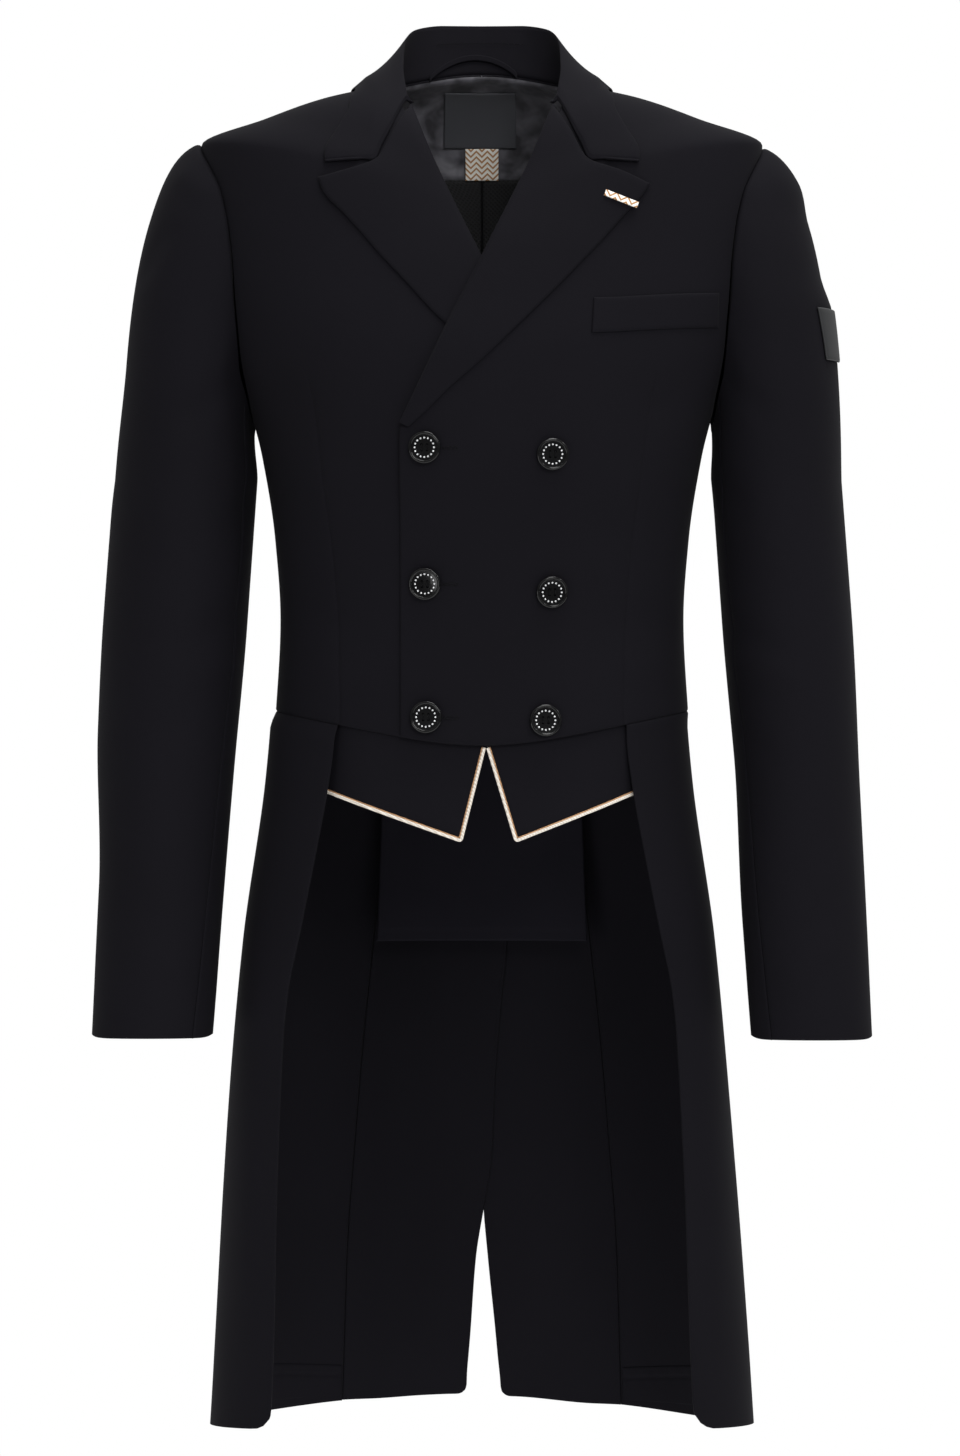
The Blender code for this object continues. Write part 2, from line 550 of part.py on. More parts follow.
def collar_stand(count):
    """Neck seam and fold of the collar from the centre back to the gorge, each count points."""
    at, knots = shares(count), shares(len(COLLAR))
    angle = through(knots, [station.neck_angle for station in COLLAR], at)
    fold = [through(knots, values, at) for values in zip(*(station.fold for station in COLLAR))]
    return on_body(angle, NECK), np.stack(fold, -1), angle


def collar(name, count, collection):
    """Stand up from the neck seam, over the fold and down to the edge of the fall."""
    at, knots = shares(count), shares(len(COLLAR))
    seam, fold, neck_angle = collar_stand(count)

    def on_form(places):
        gorge = (*(float(value) for value in find_on_body(*places[-1], -1)), COLLAR_END_LIFT)
        return np.array([through(knots, values, at) for values in zip(*places[:-1], gorge)])

    def towards_notch(share):
        """From the neck seam to mid over the form, and straight along the gorge at its end."""
        place = neck + (mid - neck) * share
        x, _, z = seam[-1] + (np.array([COLLAR_NOTCH[0], 0, COLLAR_NOTCH[1]]) - seam[-1]) * share
        place[:2] += (np.array(find_on_body(x, z, -1)) - place[:2, -1])[:, None] * at_gorge
        return place

    neck = np.array([neck_angle, 0 * at + NECK, 0 * at])
    at_gorge = eased((at - knots[-2]) / (1 - knots[-2]))
    mid, edge = on_form([s.mid for s in COLLAR]), on_form([s.edge for s in COLLAR])
    foot = seam + (0, 0, 3 * GAP)
    crown = fold + (off_body(*mid) - foot) * CROWN_REACH
    rows = [foot + (fold - foot) * share for share in shares(4)]
    rows.append((fold + crown) / 2 + (0, 0, CROWN_RISE))
    for share in (0.35, 0.7, 1.0):
        rows.append(off_body(*towards_notch(share)) + (crown - seam) * (1 - share))
    for share in (0.34, 0.67, 1.0):
        rows.append(off_body(*(mid + (edge - mid) * share)))
    points = np.stack([mirror_half(row) for row in rows])
    return cloth_wall(name, points, "cloth", collection, (0, 1, 1))


# ---------------------------------------------------------------- sleeves
def cap_angles():
    """Angle round the sleeve for each armhole notch: 0 outside, 90 in front, 180 at the armpit."""
    seam = np.array([on_body(n.angle, n.ring) for n in ARMHOLE + ARMHOLE[:1]])
    run = np.concatenate([[0], np.cumsum(np.linalg.norm(np.diff(seam, axis=0), axis=1))])
    half = run[BOTTOM_NOTCH]
    return np.where(run <= half, 180 * run / half, 180 + 180 * (run - half) / (run[-1] - half))


def tube_point(angle, z):
    """Point of the sleeve below its cap."""
    table = np.array(SLEEVE)[::-1]
    mx, my, hx, hy, twist = (through(table[:, 0], column, z) for column in table.T[1:])
    turn = np.radians(angle + twist)
    return np.stack([mx + hx * np.cos(turn), my - hy * np.sin(turn), z + 0 * turn], -1)


def sleeve_grid(cap_rows, rows_below):
    """The whole sleeve on the wearer's left, rows from armhole to cuff, a column for each notch."""
    angles = cap_angles()
    notches = ARMHOLE + ARMHOLE[:1]
    seam = np.array([on_body(n.angle, n.ring) for n in notches])
    first = tube_point(angles, np.full(len(angles), SLEEVE[0].z))
    foot = (1 - np.cos(np.radians(angles)))[:, None] / 2
    swing = np.sin(np.radians(angles))[:, None]
    pull = np.array([1.0, 0, -0.35]) * (1 - foot) + np.array([0.25, 0, -1.0]) * foot
    pull = pull + np.array([0, -CAP_FULLNESS, 0]) * swing
    pull /= np.linalg.norm(pull, axis=1, keepdims=True)
    seam = seam + pull * 2 * GAP
    reach = CAP_TOP_PULL + (CAP_FOOT_PULL - CAP_TOP_PULL) * foot
    drop = CAP_TOP_DROP + (CAP_FOOT_DROP - CAP_TOP_DROP) * foot
    leave, arrive = seam + pull * reach, first + np.array([0, 0, 1.0]) * drop
    rows = []
    for t in shares(cap_rows)[:-1]:
        near, far = seam * (1 - t) + 3 * leave * t, 3 * arrive * (1 - t) + first * t
        rows.append(near * (1 - t) ** 2 + far * t**2)
    for z in np.linspace(SLEEVE[0].z, SLEEVE[-1].z, rows_below):
        rows.append(tube_point(angles, np.full(len(angles), z)))
    return np.stack(rows)


def sleeve(side, collection):
    """Top sleeve and under sleeve, which meet at the front and back sleeve seams."""
    grid = sleeve_grid(cap_rows=8, rows_below=8)
    word = "left" if side > 0 else "right"
    under = grid[:, FRONT_SEAM_NOTCH : BACK_SEAM_NOTCH + 1]
    top = np.concatenate([grid[:, BACK_SEAM_NOTCH:-1], grid[:, : FRONT_SEAM_NOTCH + 1]], axis=1)
    for name, points, outward in (("topsleeve", top, (side, 0, 0)), ("undersleeve", under, (-side, 0, 0))):
        points = inset(points, first_column=TUBE_GAP, last_column=TUBE_GAP)
        cloth_wall(f"{name}_{word}", mirrored(points, side), "cloth", collection, outward)


def badge(name, collection):
    """The plain patch on the wearer's left upper sleeve."""
    notch_angle = cap_angles()
    grid = sleeve_grid(cap_rows=41, rows_below=2)[:-2]
    turns = np.linspace(BADGE_ANGLES[0], BADGE_ANGLES[1], 6)
    heights = np.linspace(BADGE_FOOT, BADGE_TOP, 7)
    closed = np.concatenate([notch_angle, notch_angle[1:] + 360])
    looped = np.concatenate([grid, grid[:, 1:]], axis=1)
    strips = []
    for turn in turns:
        line = np.array([[through(closed, ring[:, axis], turn) for axis in range(3)] for ring in looped])
        line = line[np.argsort(line[:, 2])]
        strips.append(np.stack([through(line[:, 2], column, heights) for column in line.T], -1))
    points = np.stack(strips, 1)
    around = np.gradient(points, axis=1)
    up = np.gradient(points, axis=0)
    normal = np.cross(up, around)
    normal /= np.linalg.norm(normal, axis=-1, keepdims=True)
    normal *= np.sign(normal[..., :1])
    return cloth_wall(name, points + normal * (PLY + 2 * GAP), "badge", collection, (1, 0, 0))


# ---------------------------------------------------------------- pieces laid on the fronts and back
def patch(name, corners, rows, columns, lift, slot, collection, thickness=WALL):
    """A four-cornered piece on the front. corners run round from the lower left, as (x, z)."""
    low_left, low_right, high_right, high_left = (np.array(c) for c in corners)
    v, u = shares(rows)[:, None, None], shares(columns)[None, :, None]
    flat = (low_left * (1 - u) + low_right * u) * (1 - v) + (high_left * (1 - u) + high_right * u) * v
    points = show_at(flat[..., 0], flat[..., 1], lift(flat[..., 0], flat[..., 1]))
    return cloth_wall(name, points, slot, collection, (0, -1, 0), thickness)


def on_over_front(layers):
    """Lift of a piece's outer face that lies this many layers above the overlapping front."""
    return lambda x, z: over_lift(np.stack([x, z, z], -1)) + layers * PLY


def ribbon(name, collection):
    """A short ribbon bar sewn to the over lapel near its peak."""
    start, end = np.array(RIBBON_START), np.array(RIBBON_END)
    across = np.array([-(end - start)[1], (end - start)[0]])
    across = across / np.linalg.norm(across) * RIBBON_WIDTH / 2
    corners = (start - across, end - across, end + across, start + across)
    lift = on_over_front(1)
    over_leaf = LAPEL_REST + LAPEL_PUFF + LAPEL_NECK_LIFT + THIN
    lift_here = lambda x, z: lift(x, z) + over_leaf
    return patch(name, corners, 2, 8, lift_here, "ribbon", collection, THIN)


def vest_outline(side):
    """Corners of a waistcoat point as (x, z): apex, tip and side."""
    tip = VEST_TIP_X[0] if side < 0 else VEST_TIP_X[1]
    apex = VEST_APEX_X + side * (2 * PIPING_RADIUS + 1.5 * GAP)
    return np.array([(apex, VEST_APEX_Z), (tip, VEST_TIP_Z), (side * VEST_SIDE_X, VEST_SIDE_Z)])


def vest_lift(x, z):
    """The points are sewn in at the waist seam and lie deeper at their foot and under the skirts."""
    hung = np.interp(z, (VEST_SIDE_Z, VEST_APEX_Z), (VEST_FOOT_LIFT, VEST_TOP_LIFT))
    return hung - PLY * fade(abs(x), *VEST_UNDER_SKIRT_X)


def vest_point(name, side, collection):
    apex, tip, corner = vest_outline(side)
    rows, columns = 7, 10
    u, v = shares(columns)[None, :, None], shares(rows)[:, None, None]
    bottom = tip * (1 - u) + corner * u
    top = np.array((apex[0], VEST_TOP)) * (1 - u) + np.array((corner[0], VEST_TOP + VEST_SIDE_RISE)) * u
    flat = bottom * (1 - v) + top * v
    edge = np.interp(flat[:, 0, 1], (tip[1], apex[1], VEST_TOP), (tip[0], apex[0], apex[0]))
    flat[..., 0] += (edge - flat[:, 0, 0])[:, None] * (1 - shares(columns))
    points = show_at(flat[..., 0], flat[..., 1], vest_lift(flat[..., 0], flat[..., 1]))
    return cloth_wall(name, points, "cloth", collection, (0, -1, 0))


def piping_line(side):
    """Middle line of the cord round a waistcoat point, as (x, z): down to the tip, then out."""
    corners = vest_outline(side)
    runs = np.diff(corners, axis=0)
    runs /= np.linalg.norm(runs, axis=1, keepdims=True)
    away = np.stack([runs[:, 1], -runs[:, 0]], axis=1) * side * (PIPING_RADIUS + 1.5 * GAP)
    apex, corner = corners[0] + away[0], corners[2] + away[1]
    knee = corners[1] + away.sum(axis=0) / (1 + runs[0] @ runs[1])
    start, end = knee - runs[0] * PIPING_BEND, knee + runs[1] * PIPING_BEND
    down = [apex + (start - apex) * share for share in shares(5)[:-1]]
    bend = [start * (1 - t) ** 2 + 2 * t * (1 - t) * knee + end * t * t for t in shares(5)]
    out = [end + (corner - runs[1] * PIPING_END - end) * share for share in shares(8)[1:]]
    return np.array(down + bend + out)


def piping(name, side, collection):
    """A corded edge round the lower side of a waistcoat point."""
    flat = piping_line(side)
    path = show_at(flat[:, 0], flat[:, 1], vest_lift(flat[:, 0], flat[:, 1]) - WALL / 2)
    curve = bpy.data.curves.new(name, "CURVE")
    curve.dimensions = "3D"
    spline = curve.splines.new("POLY")
    spline.points.add(len(path) - 1)
    for point, place in zip(spline.points, path):
        point.co = (*place, 1.0)
    curve.bevel_depth = PIPING_RADIUS
    curve.bevel_resolution = 2
    curve.use_fill_caps = True
    return add_object(name, curve, "piping", collection)


def flap(name, collection):
    """The inner flap: sewn in at the back waist, it hangs straight inside the tails."""
    rows, columns = 6, 9
    top = show_at(np.linspace(-FLAP_TOP_HALF, FLAP_TOP_HALF, columns), FLAP_TOP, FLAP_LIFT, facing=1)
    foot = top * (1, 1, 0) + (0, FLAP_SWING, FLAP_BOTTOM)
    foot[:, 0] *= FLAP_BOTTOM_HALF / FLAP_TOP_HALF
    v = shares(rows)[:, None, None]
    points = foot * (1 - v) + top * v
    return cloth_wall(name, points, "cloth", collection, (0, -1, 0))


def inside_back(name, low, high, half_columns, layer, slot, collection, half=0):
    """A thin piece against the inside of the back, on the back's own rows low to high.

    It takes half_columns of the back's columns on each side of the middle, or on the side that
    half gives. layer 0 is the lining and 1 is what lies on it.
    """
    angles, rings = (grid[low : high + 1, -half_columns - 1 :] for grid in back_grid(False, BACK_COLUMNS))
    points = off_body(angles, rings, 0 * angles - WALL - 2 * GAP - THIN - layer * (THIN + GAP))
    if high == len(BACK_RINGS) - 1:
        points[-1, :, 2] -= GAP
    if half:
        points = mirrored(inset(points, last_row=GAP, last_column=GAP), half)
    else:
        points = np.concatenate([points, mirrored(points[:, -2::-1], -1)], axis=1)
    return cloth_wall(name, points, slot, collection, (0, -1, 0), THIN)


def linings(collection):
    """Satin yoke lining at the neck and a mesh lining below it, in two halves."""
    yoke_row, waist_row = (int(np.argmin(abs(BACK_RINGS - ring))) for ring in (YOKE_LINING_RING, WAIST))
    inside_back("neck_lining", yoke_row, len(BACK_RINGS) - 1, 6, 0, "satin", collection)
    for word, side in (("left", 1), ("right", -1)):
        inside_back(f"back_lining_{word}", waist_row, yoke_row, 5, 0, "mesh", collection, half=side)


def label_pieces(collection):
    """The label on the yoke lining, and a folded tape hanging from its lower edge."""
    for name, centre, width, top, foot, slot in LABELS:
        x = centre + width * np.linspace(-0.5, 0.5, 7)
        z = np.linspace(foot, top, 6)[:, None]
        points = show_at(x + 0 * z, z + 0 * x, LABEL_LIFT, facing=1)
        cloth_wall(name, points, slot, collection, (0, -1, 0), THIN)


def hanger(name, collection):
    """A strap that arches up from the neck seam against the inside of the stand."""
    foot, fold = (mirror_half(line[line[:, 1] > 0.02]) for line in collar_stand(41)[:2])
    share = shares(13)
    x = HANGER_LEFT + (HANGER_RIGHT - HANGER_LEFT) * share
    rise = HANGER_RISE * np.sin(np.pi * share) ** 0.7
    foot_y, foot_z = (through(foot[:, 0], foot[:, axis], x) for axis in (1, 2))
    top_y, top_z = (through(fold[:, 0], fold[:, axis], x) for axis in (1, 2))
    rows = []
    for across in (-HANGER_WIDTH / 2, HANGER_WIDTH / 2):
        height = np.maximum(foot_z + 6 * GAP + across + HANGER_WIDTH / 2, foot_z + rise + across)
        up = (height - foot_z) / (top_z - foot_z)
        y = foot_y + (top_y - foot_y) * up - 2 * GAP
        rows.append(np.stack([x, y, height], -1))
    return cloth_wall(name, np.stack(rows), "cloth", collection, (0, 1, 0), THIN)


# ---------------------------------------------------------------- buttons
def button_mesh(cutters):
    """A four-hole button with a raised rim, its back at z = 0, turned about Z."""
    r, t, rim = BUTTON_RADIUS, BUTTON_THICKNESS, BUTTON_RIM
    profile = ((0, t * 0.62), (r - 2.2 * rim, t * 0.62), (r - rim, t), (r - 0.4 * rim, t),
               (r, t * 0.55), (r - 0.5 * rim, 0.0), (0, 0.0))
    mesh = bpy.data.meshes.new("button_profile")
    mesh.from_pydata([(x, 0, z) for x, z in profile], [(i, i + 1) for i in range(len(profile) - 1)], [])
    blank = bpy.data.objects.new("button_blank", mesh)
    cutters.objects.link(blank)
    screw = blank.modifiers.new("turn", "SCREW")
    screw.steps = screw.render_steps = 16
    screw.use_merge_vertices = True
    screw.merge_threshold = 0.0001
    screw.use_normal_calculate = True
    holes = bmesh.new()
    for dx in (-0.5, 0.5):
        for dy in (-0.5, 0.5):
            place = Matrix.Translation((dx * BUTTON_HOLE_PITCH, dy * BUTTON_HOLE_PITCH, t / 2))
            bmesh.ops.create_cone(holes, cap_ends=True, segments=6, radius1=BUTTON_HOLE_RADIUS,
                                  radius2=BUTTON_HOLE_RADIUS, depth=3 * t, matrix=place)
    hole_mesh = bpy.data.meshes.new("button_holes")
    holes.to_mesh(hole_mesh)
    holes.free()
    cutter = bpy.data.objects.new("button_holes", hole_mesh)
    cutters.objects.link(cutter)
    drill = blank.modifiers.new("holes", "BOOLEAN")
    drill.operation = "DIFFERENCE"
    drill.object = cutter
    bpy.context.view_layer.update()
    made = bpy.data.meshes.new_from_object(blank.evaluated_get(bpy.context.evaluated_depsgraph_get()))
    bpy.data.objects.remove(blank)
    bpy.data.objects.remove(cutter)
    return made


def buttons(collection, cutters):
    mesh = button_mesh(cutters)
    mesh.name = "button"
    mesh.materials.clear()
    mesh.materials.append(material_of("button"))
    for number, (x, z) in enumerate(BUTTONS, 1):
        lift = over_lift(np.array([x, 0, z])) + 2 * GAP
        seat = show_at(x, z, lift)
        normal = Vector(show_at(x, z, lift + 0.01) - seat).normalized()
        part = bpy.data.objects.new(f"button_{number}", mesh)
        part.location = seat
        part.rotation_mode = "QUATERNION"
        part.rotation_quaternion = normal.to_track_quat("Z", "Y")
        collection.objects.link(part)


# ---------------------------------------------------------------- the coat
def build():
    for obj in list(bpy.data.objects):
        bpy.data.objects.remove(obj)
    coat = bpy.data.collections.new("tailcoat")
    cutters = bpy.data.collections.new("cutters")
    bpy.context.scene.collection.children.link(coat)
    bpy.context.scene.collection.children.link(cutters)

    front_panel("front_over", True, 15, coat)
    front_panel("front_under", False, 13, coat)
    for word, side in (("left", 1), ("right", -1)):
        back_panel(f"back_{word}", side, BACK_COLUMNS, coat)
        side_panel(f"side_{word}", side, coat)
        skirt_panel(f"skirt_{word}", side, 10, coat)
        sleeve(side, coat)
        vest_point(f"vest_point_{word}", side, coat)
        piping(f"piping_{word}", side, coat)
    lapel("lapel_over", True, 15, 8, coat)
    lapel("lapel_under", False, 15, 8, coat)
    collar("collar", 15, coat)
    patch("pocket_welt", WELT, 3, 8, on_over_front(1), "cloth", coat)
    ribbon("lapel_ribbon", coat)
    badge("sleeve_badge", coat)
    flap("back_flap", coat)
    linings(coat)
    label_pieces(coat)
    hanger("hanger_loop", coat)
    buttons(coat, cutters)


build()
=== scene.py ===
# %% [markdown]
# # A dressage tailcoat, sewn again in fine cloth
#
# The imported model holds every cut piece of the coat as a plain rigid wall. This lesson sews the
# same pieces once more as fine sheets of cloth on the same body form, with their darts, pressed
# seams, soft creases and stitches, and gives each one its finish. Nothing is drawn over a picture:
# every shape comes from the tailor's own lines, such as a roll line or an armhole.

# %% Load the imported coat
import json
import math
from collections import namedtuple

import bmesh
import bpy
import numpy as np
from mathutils import Matrix, Vector

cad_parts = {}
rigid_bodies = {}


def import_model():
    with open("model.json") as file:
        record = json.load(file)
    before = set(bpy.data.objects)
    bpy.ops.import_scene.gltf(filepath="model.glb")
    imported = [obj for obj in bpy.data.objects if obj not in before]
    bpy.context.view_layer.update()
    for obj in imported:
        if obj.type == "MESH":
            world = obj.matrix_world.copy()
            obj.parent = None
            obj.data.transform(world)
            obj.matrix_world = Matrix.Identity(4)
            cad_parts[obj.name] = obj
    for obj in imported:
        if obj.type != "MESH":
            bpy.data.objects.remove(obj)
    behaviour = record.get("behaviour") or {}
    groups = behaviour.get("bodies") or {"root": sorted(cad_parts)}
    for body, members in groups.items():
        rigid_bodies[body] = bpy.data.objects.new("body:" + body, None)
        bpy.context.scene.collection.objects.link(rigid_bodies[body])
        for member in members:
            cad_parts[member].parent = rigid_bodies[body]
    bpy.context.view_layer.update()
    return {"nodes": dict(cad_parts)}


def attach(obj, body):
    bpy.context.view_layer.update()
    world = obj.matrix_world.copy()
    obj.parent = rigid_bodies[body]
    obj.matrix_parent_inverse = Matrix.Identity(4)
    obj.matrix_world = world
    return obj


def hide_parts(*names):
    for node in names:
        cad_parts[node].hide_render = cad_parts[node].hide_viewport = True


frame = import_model()

# %% [markdown]
# ## Camera, light and floor
#
# A shop picture of a coat is taken from a few metres away with a long lens, level with its waist,
# so that the tails and the collar keep their true proportions. Sensor width stands for the long
# side of the picture, so one division turns "how much of the coat fits the picture" into a lens.

# %% Camera
CAMERA_DISTANCE, CAMERA_X, CAMERA_Z = 4.0, -0.0015, -0.489
PICTURE_HEIGHT = 1456 * 0.00076  # metres that the long side takes in at the coat's middle

lens = bpy.data.cameras.new("camera")
lens.sensor_width = 36.0
lens.lens = lens.sensor_width * CAMERA_DISTANCE / PICTURE_HEIGHT
camera = bpy.data.objects.new("camera", lens)
camera.location = (CAMERA_X, -CAMERA_DISTANCE, CAMERA_Z)
camera.rotation_euler = (math.pi / 2, 0.0, 0.0)
bpy.context.scene.collection.objects.link(camera)
bpy.context.scene.camera = camera
print("lens, mm:", round(lens.lens))

# %% [markdown]
# A picture like this is cut out on pure white, so the room that the camera sees isn't the room
# that lights the coat. That one is a studio: bright above, to the right and behind, and dim in
# front, where the photographer stands. So black cloth stays black and its edges catch light. Two
# large soft lights make the shoulders and the right sleeve lighter, and a low one reaches under the
# fronts, to the inner flap. The last is small, and does little but glint on the buttons' rims.

# %% World and lights
STUDIO_SIDE, STUDIO_DIM, STUDIO_BRIGHT = (0.14, 0.20, 0.97), 0.20, 0.78
Light = namedtuple("Light", "name place size watts")
LIGHTS = (
    Light("key", (1.0, -3.8, 1.5), 1.6, 58.0),
    Light("top", (0.5, -0.5, 2.6), 1.8, 70.0),
    Light("fill", (-2.2, -3.4, -1.5), 1.6, 26.0),
    Light("glint", (3.3, -2.7, 1.6), 0.45, 14.0),
)

for light in LIGHTS:
    lamp = bpy.data.lights.new(light.name, "AREA")
    lamp.shape, lamp.size, lamp.energy = "DISK", light.size, light.watts
    holder = bpy.data.objects.new(light.name, lamp)
    holder.location = light.place
    aim = Vector((0.0, 0.0, -0.45)) - holder.location
    holder.rotation_euler = aim.to_track_quat("-Z", "Y").to_euler()
    bpy.context.scene.collection.objects.link(holder)
bpy.context.scene.view_settings.view_transform = "Standard"
bpy.context.scene.view_settings.look = "None"

# %% [markdown]
# ## Finishes
#
# Every finish starts from the real material. Colours are written as the sRGB hex values that a
# paint chart gives, and one function turns them to the linear numbers that light adds up in. One
# more small function adds a shader node with its settings and links. The textures are sized in
# millimetres of real cloth.


# %% Helpers for finishes
WAVE_PERIOD = math.pi / 10  # a Wave texture of scale 1 repeats after this length


def linear(hex_colour):
    """An sRGB hex colour as the linear values that a shader takes."""
    channels = [int(hex_colour[i : i + 2], 16) / 255 for i in (1, 3, 5)]
    return (*(c / 12.92 if c <= 0.04045 else ((c + 0.055) / 1.055) ** 2.4 for c in channels), 1.0)


def node(tree, kind, inputs=(), **settings):
    """A new node. inputs maps its sockets to values or to the output sockets that feed them."""
    made = tree.nodes.new(kind)
    for name, value in settings.items():
        setattr(made, name, value)
    for socket, value in dict(inputs).items():
        if isinstance(value, bpy.types.NodeSocket):
            tree.links.new(value, made.inputs[socket])
        else:
            made.inputs[socket].default_value = value
    return made


def finish(name, **surface):
    """A material with its own shader, whose fixed numbers are set on the shader's own sockets."""
    material = bpy.data.materials.new(name)
    material.use_nodes = True
    shader = material.node_tree.nodes["Principled BSDF"]
    for socket, value in surface.items():
        shader.inputs[socket.replace("_", " ")].default_value = value
    return material, material.node_tree, shader


def coloured_between(tree, shader, share, low, high):
    """Colours the shader between two sRGB colours, by a share that a texture gives."""
    mixer = node(tree, "ShaderNodeMixRGB", {"Fac": share, "Color1": linear(low), "Color2": linear(high)})
    tree.links.new(mixer.outputs["Color"], shader.inputs["Base Color"])


def roughened(tree, shader, share, low, high):
    """Varies the shader's roughness between two values, by a share that a texture gives."""
    spread = node(tree, "ShaderNodeMapRange", {"Value": share, "To Min": low, "To Max": high})
    tree.links.new(spread.outputs["Result"], shader.inputs["Roughness"])


def embossed(tree, shader, height, strength, depth, under=None):
    """Relief from a texture, with its depth in metres, laid over the relief under it."""
    inputs = {"Height": height, "Strength": strength, "Distance": depth}
    if under:
        inputs["Normal"] = under
    relief = node(tree, "ShaderNodeBump", inputs).outputs["Normal"]
    tree.links.new(relief, shader.inputs["Normal"])
    return relief


def place_on(tree):
    """The piece's own coordinates."""
    return node(tree, "ShaderNodeTexCoord").outputs["Object"]


def grain_of(tree):
    """The cloth's grain: metres across it and down it."""
    return node(tree, "ShaderNodeUVMap", uv_map="grain").outputs["UV"]


def cloudy(tree, size_mm, detail, **more):
    """Soft lumps of about this size."""
    inputs = {"Vector": place_on(tree), "Scale": 1000 / size_mm, "Detail": detail, **more}
    return node(tree, "ShaderNodeTexNoise", inputs).outputs["Fac"]


def ribbed(tree, place, pitch_mm, direction, distortion, **more):
    """Ribs this far apart."""
    inputs = {"Vector": place, "Scale": 1000 * WAVE_PERIOD / pitch_mm, "Distortion": distortion, **more}
    return node(tree, "ShaderNodeTexWave", inputs, bands_direction=direction).outputs["Fac"]


def stepped(tree, value, low, high):
    """A share that runs from 0 to 1 as the value runs from low to high."""
    inputs = {"Value": value, "From Min": low, "From Max": high}
    return node(tree, "ShaderNodeMapRange", inputs).outputs["Result"]


# %% The studio room
def studio_room():
    """White to the camera; to the coat, light that falls off from one side of the sky."""
    world = bpy.data.worlds.new("studio room")
    world.use_nodes = True
    tree = world.node_tree
    direction = node(tree, "ShaderNodeTexCoord").outputs["Generated"]
    side = node(tree, "ShaderNodeVectorMath", {0: direction, 1: STUDIO_SIDE}, operation="DOT_PRODUCT")
    glow = node(tree, "ShaderNodeMapRange", {
        "Value": side.outputs["Value"], "From Min": -0.5, "To Min": STUDIO_DIM, "To Max": STUDIO_BRIGHT,
    }, interpolation_type="SMOOTHSTEP")
    room = node(tree, "ShaderNodeBackground", {"Strength": glow.outputs["Result"]})
    paper = node(tree, "ShaderNodeBackground")
    for background in (room, paper):
        background.inputs["Color"].default_value = (1.0, 1.0, 1.0, 1.0)
    seen = node(tree, "ShaderNodeLightPath").outputs["Is Camera Ray"]
    both = node(tree, "ShaderNodeMixShader", {0: seen, 1: room.outputs[0], 2: paper.outputs[0]})
    tree.links.new(both.outputs["Shader"], tree.nodes["World Output"].inputs["Surface"])
    return world


bpy.context.scene.world = studio_room()

# %% [markdown]
# **Stretch wool-touch cloth.** The coat is a smooth bi-stretch softshell: a close twill of matt
# polyamide yarn, nearly black with a violet cast. Threads lie about 0.4 mm apart, finer than the
# picture can show, so the twill is drawn at 0.9 mm. A short fibre sheen lightens the edges.

# %% Stretch cloth
TWILL_MM, FUZZ_MM, CLOUD_MM = 0.9, 0.5, 130.0


def stretch_cloth(name, dark, light):
    """Twill cloth, drawn in the piece's own grain, with soft clouds of lighter and darker dye."""
    material, tree, shader = finish(
        name, Specular_IOR_Level=0.06, Sheen_Weight=0.01, Sheen_Roughness=0.45
    )
    twill = ribbed(tree, grain_of(tree), TWILL_MM, "DIAGONAL", 0.6, **{"Detail Scale": 0.4})
    fuzz = cloudy(tree, FUZZ_MM, 2.0)
    coloured_between(tree, shader, cloudy(tree, CLOUD_MM, 3.0), dark, light)
    roughened(tree, shader, fuzz, 0.72, 0.92)
    ridges = embossed(tree, shader, twill, 0.35, 0.00006)
    embossed(tree, shader, fuzz, 0.30, 0.00008, ridges)
    return material


COAT_CLOTH = stretch_cloth("stretch twill", "#0f0e12", "#131217")
# Painted light: the inner flap's twill is painted paler than the coat's, so that the flap, in the shade
# of the fronts, reads as bright as they do.
CLOTH_PAINTED_PALER = stretch_cloth("stretch twill, painted paler", "#15141a", "#1a191f")  # a little paler
print("cloth finishes:", COAT_CLOTH.name, "and", CLOTH_PAINTED_PALER.name)

# %% [markdown]
# **Lining satin and mesh.** The neck is lined with polyester satin, whose long floats shine and
# whose loose fit crumples it. Below it hangs a warp-knit mesh with rows of small round holes,
# 2.4 mm apart.

# %% Linings
MESH_MM, CRUMPLE_MM = 2.4, 17.0


def lining_satin():
    material, tree, shader = finish(
        "lining satin", Roughness=0.58, Specular_IOR_Level=0.45, Sheen_Weight=0.1
    )
    crumple = cloudy(tree, CRUMPLE_MM, 2.0, Distortion=0.3)
    # Painted sheen and shade: the satin's colour is lighter on the crumples' rises and darker in their
    # hollows.
    coloured_between(tree, shader, stepped(tree, crumple, 0.34, 0.66), "#302f34", "#67666d")
    embossed(tree, shader, crumple, 0.5, 0.003)
    return material


def lining_mesh():
    material, tree, shader = finish("warp-knit mesh", Roughness=0.7, Specular_IOR_Level=0.3)
    eighth = (0.0, 0.0, math.pi / 4)
    turned = node(tree, "ShaderNodeMapping", {"Vector": grain_of(tree), "Rotation": eighth})
    cells = node(tree, "ShaderNodeTexVoronoi", {
        "Vector": turned.outputs["Vector"], "Scale": 1000 / MESH_MM, "Randomness": 0.15,
    }, voronoi_dimensions="2D")
    thread = stepped(tree, cells.outputs["Distance"], 0.28, 0.42)
    coloured_between(tree, shader, thread, "#050506", "#1c1c1e")
    embossed(tree, shader, thread, 0.6, 0.0003)
    return material


LINING_SATIN, LINING_MESH = lining_satin(), lining_mesh()

# %% [markdown]
# **Piping, tape, label and thread.** The piping is a cream cotton cord, twisted, with a thin tan
# cord laid beside it. The two tapes are a cream and tan herringbone twill. The label is woven
# damask, dull grey and plain. Sewing thread is matt polyester, a shade darker than the cloth.

# %% Trims
CORD_TWIST_MM, HERRINGBONE_MM, CHEVRON_MM, DAMASK_MM = 1.6, 4.4, 8.6, 0.8


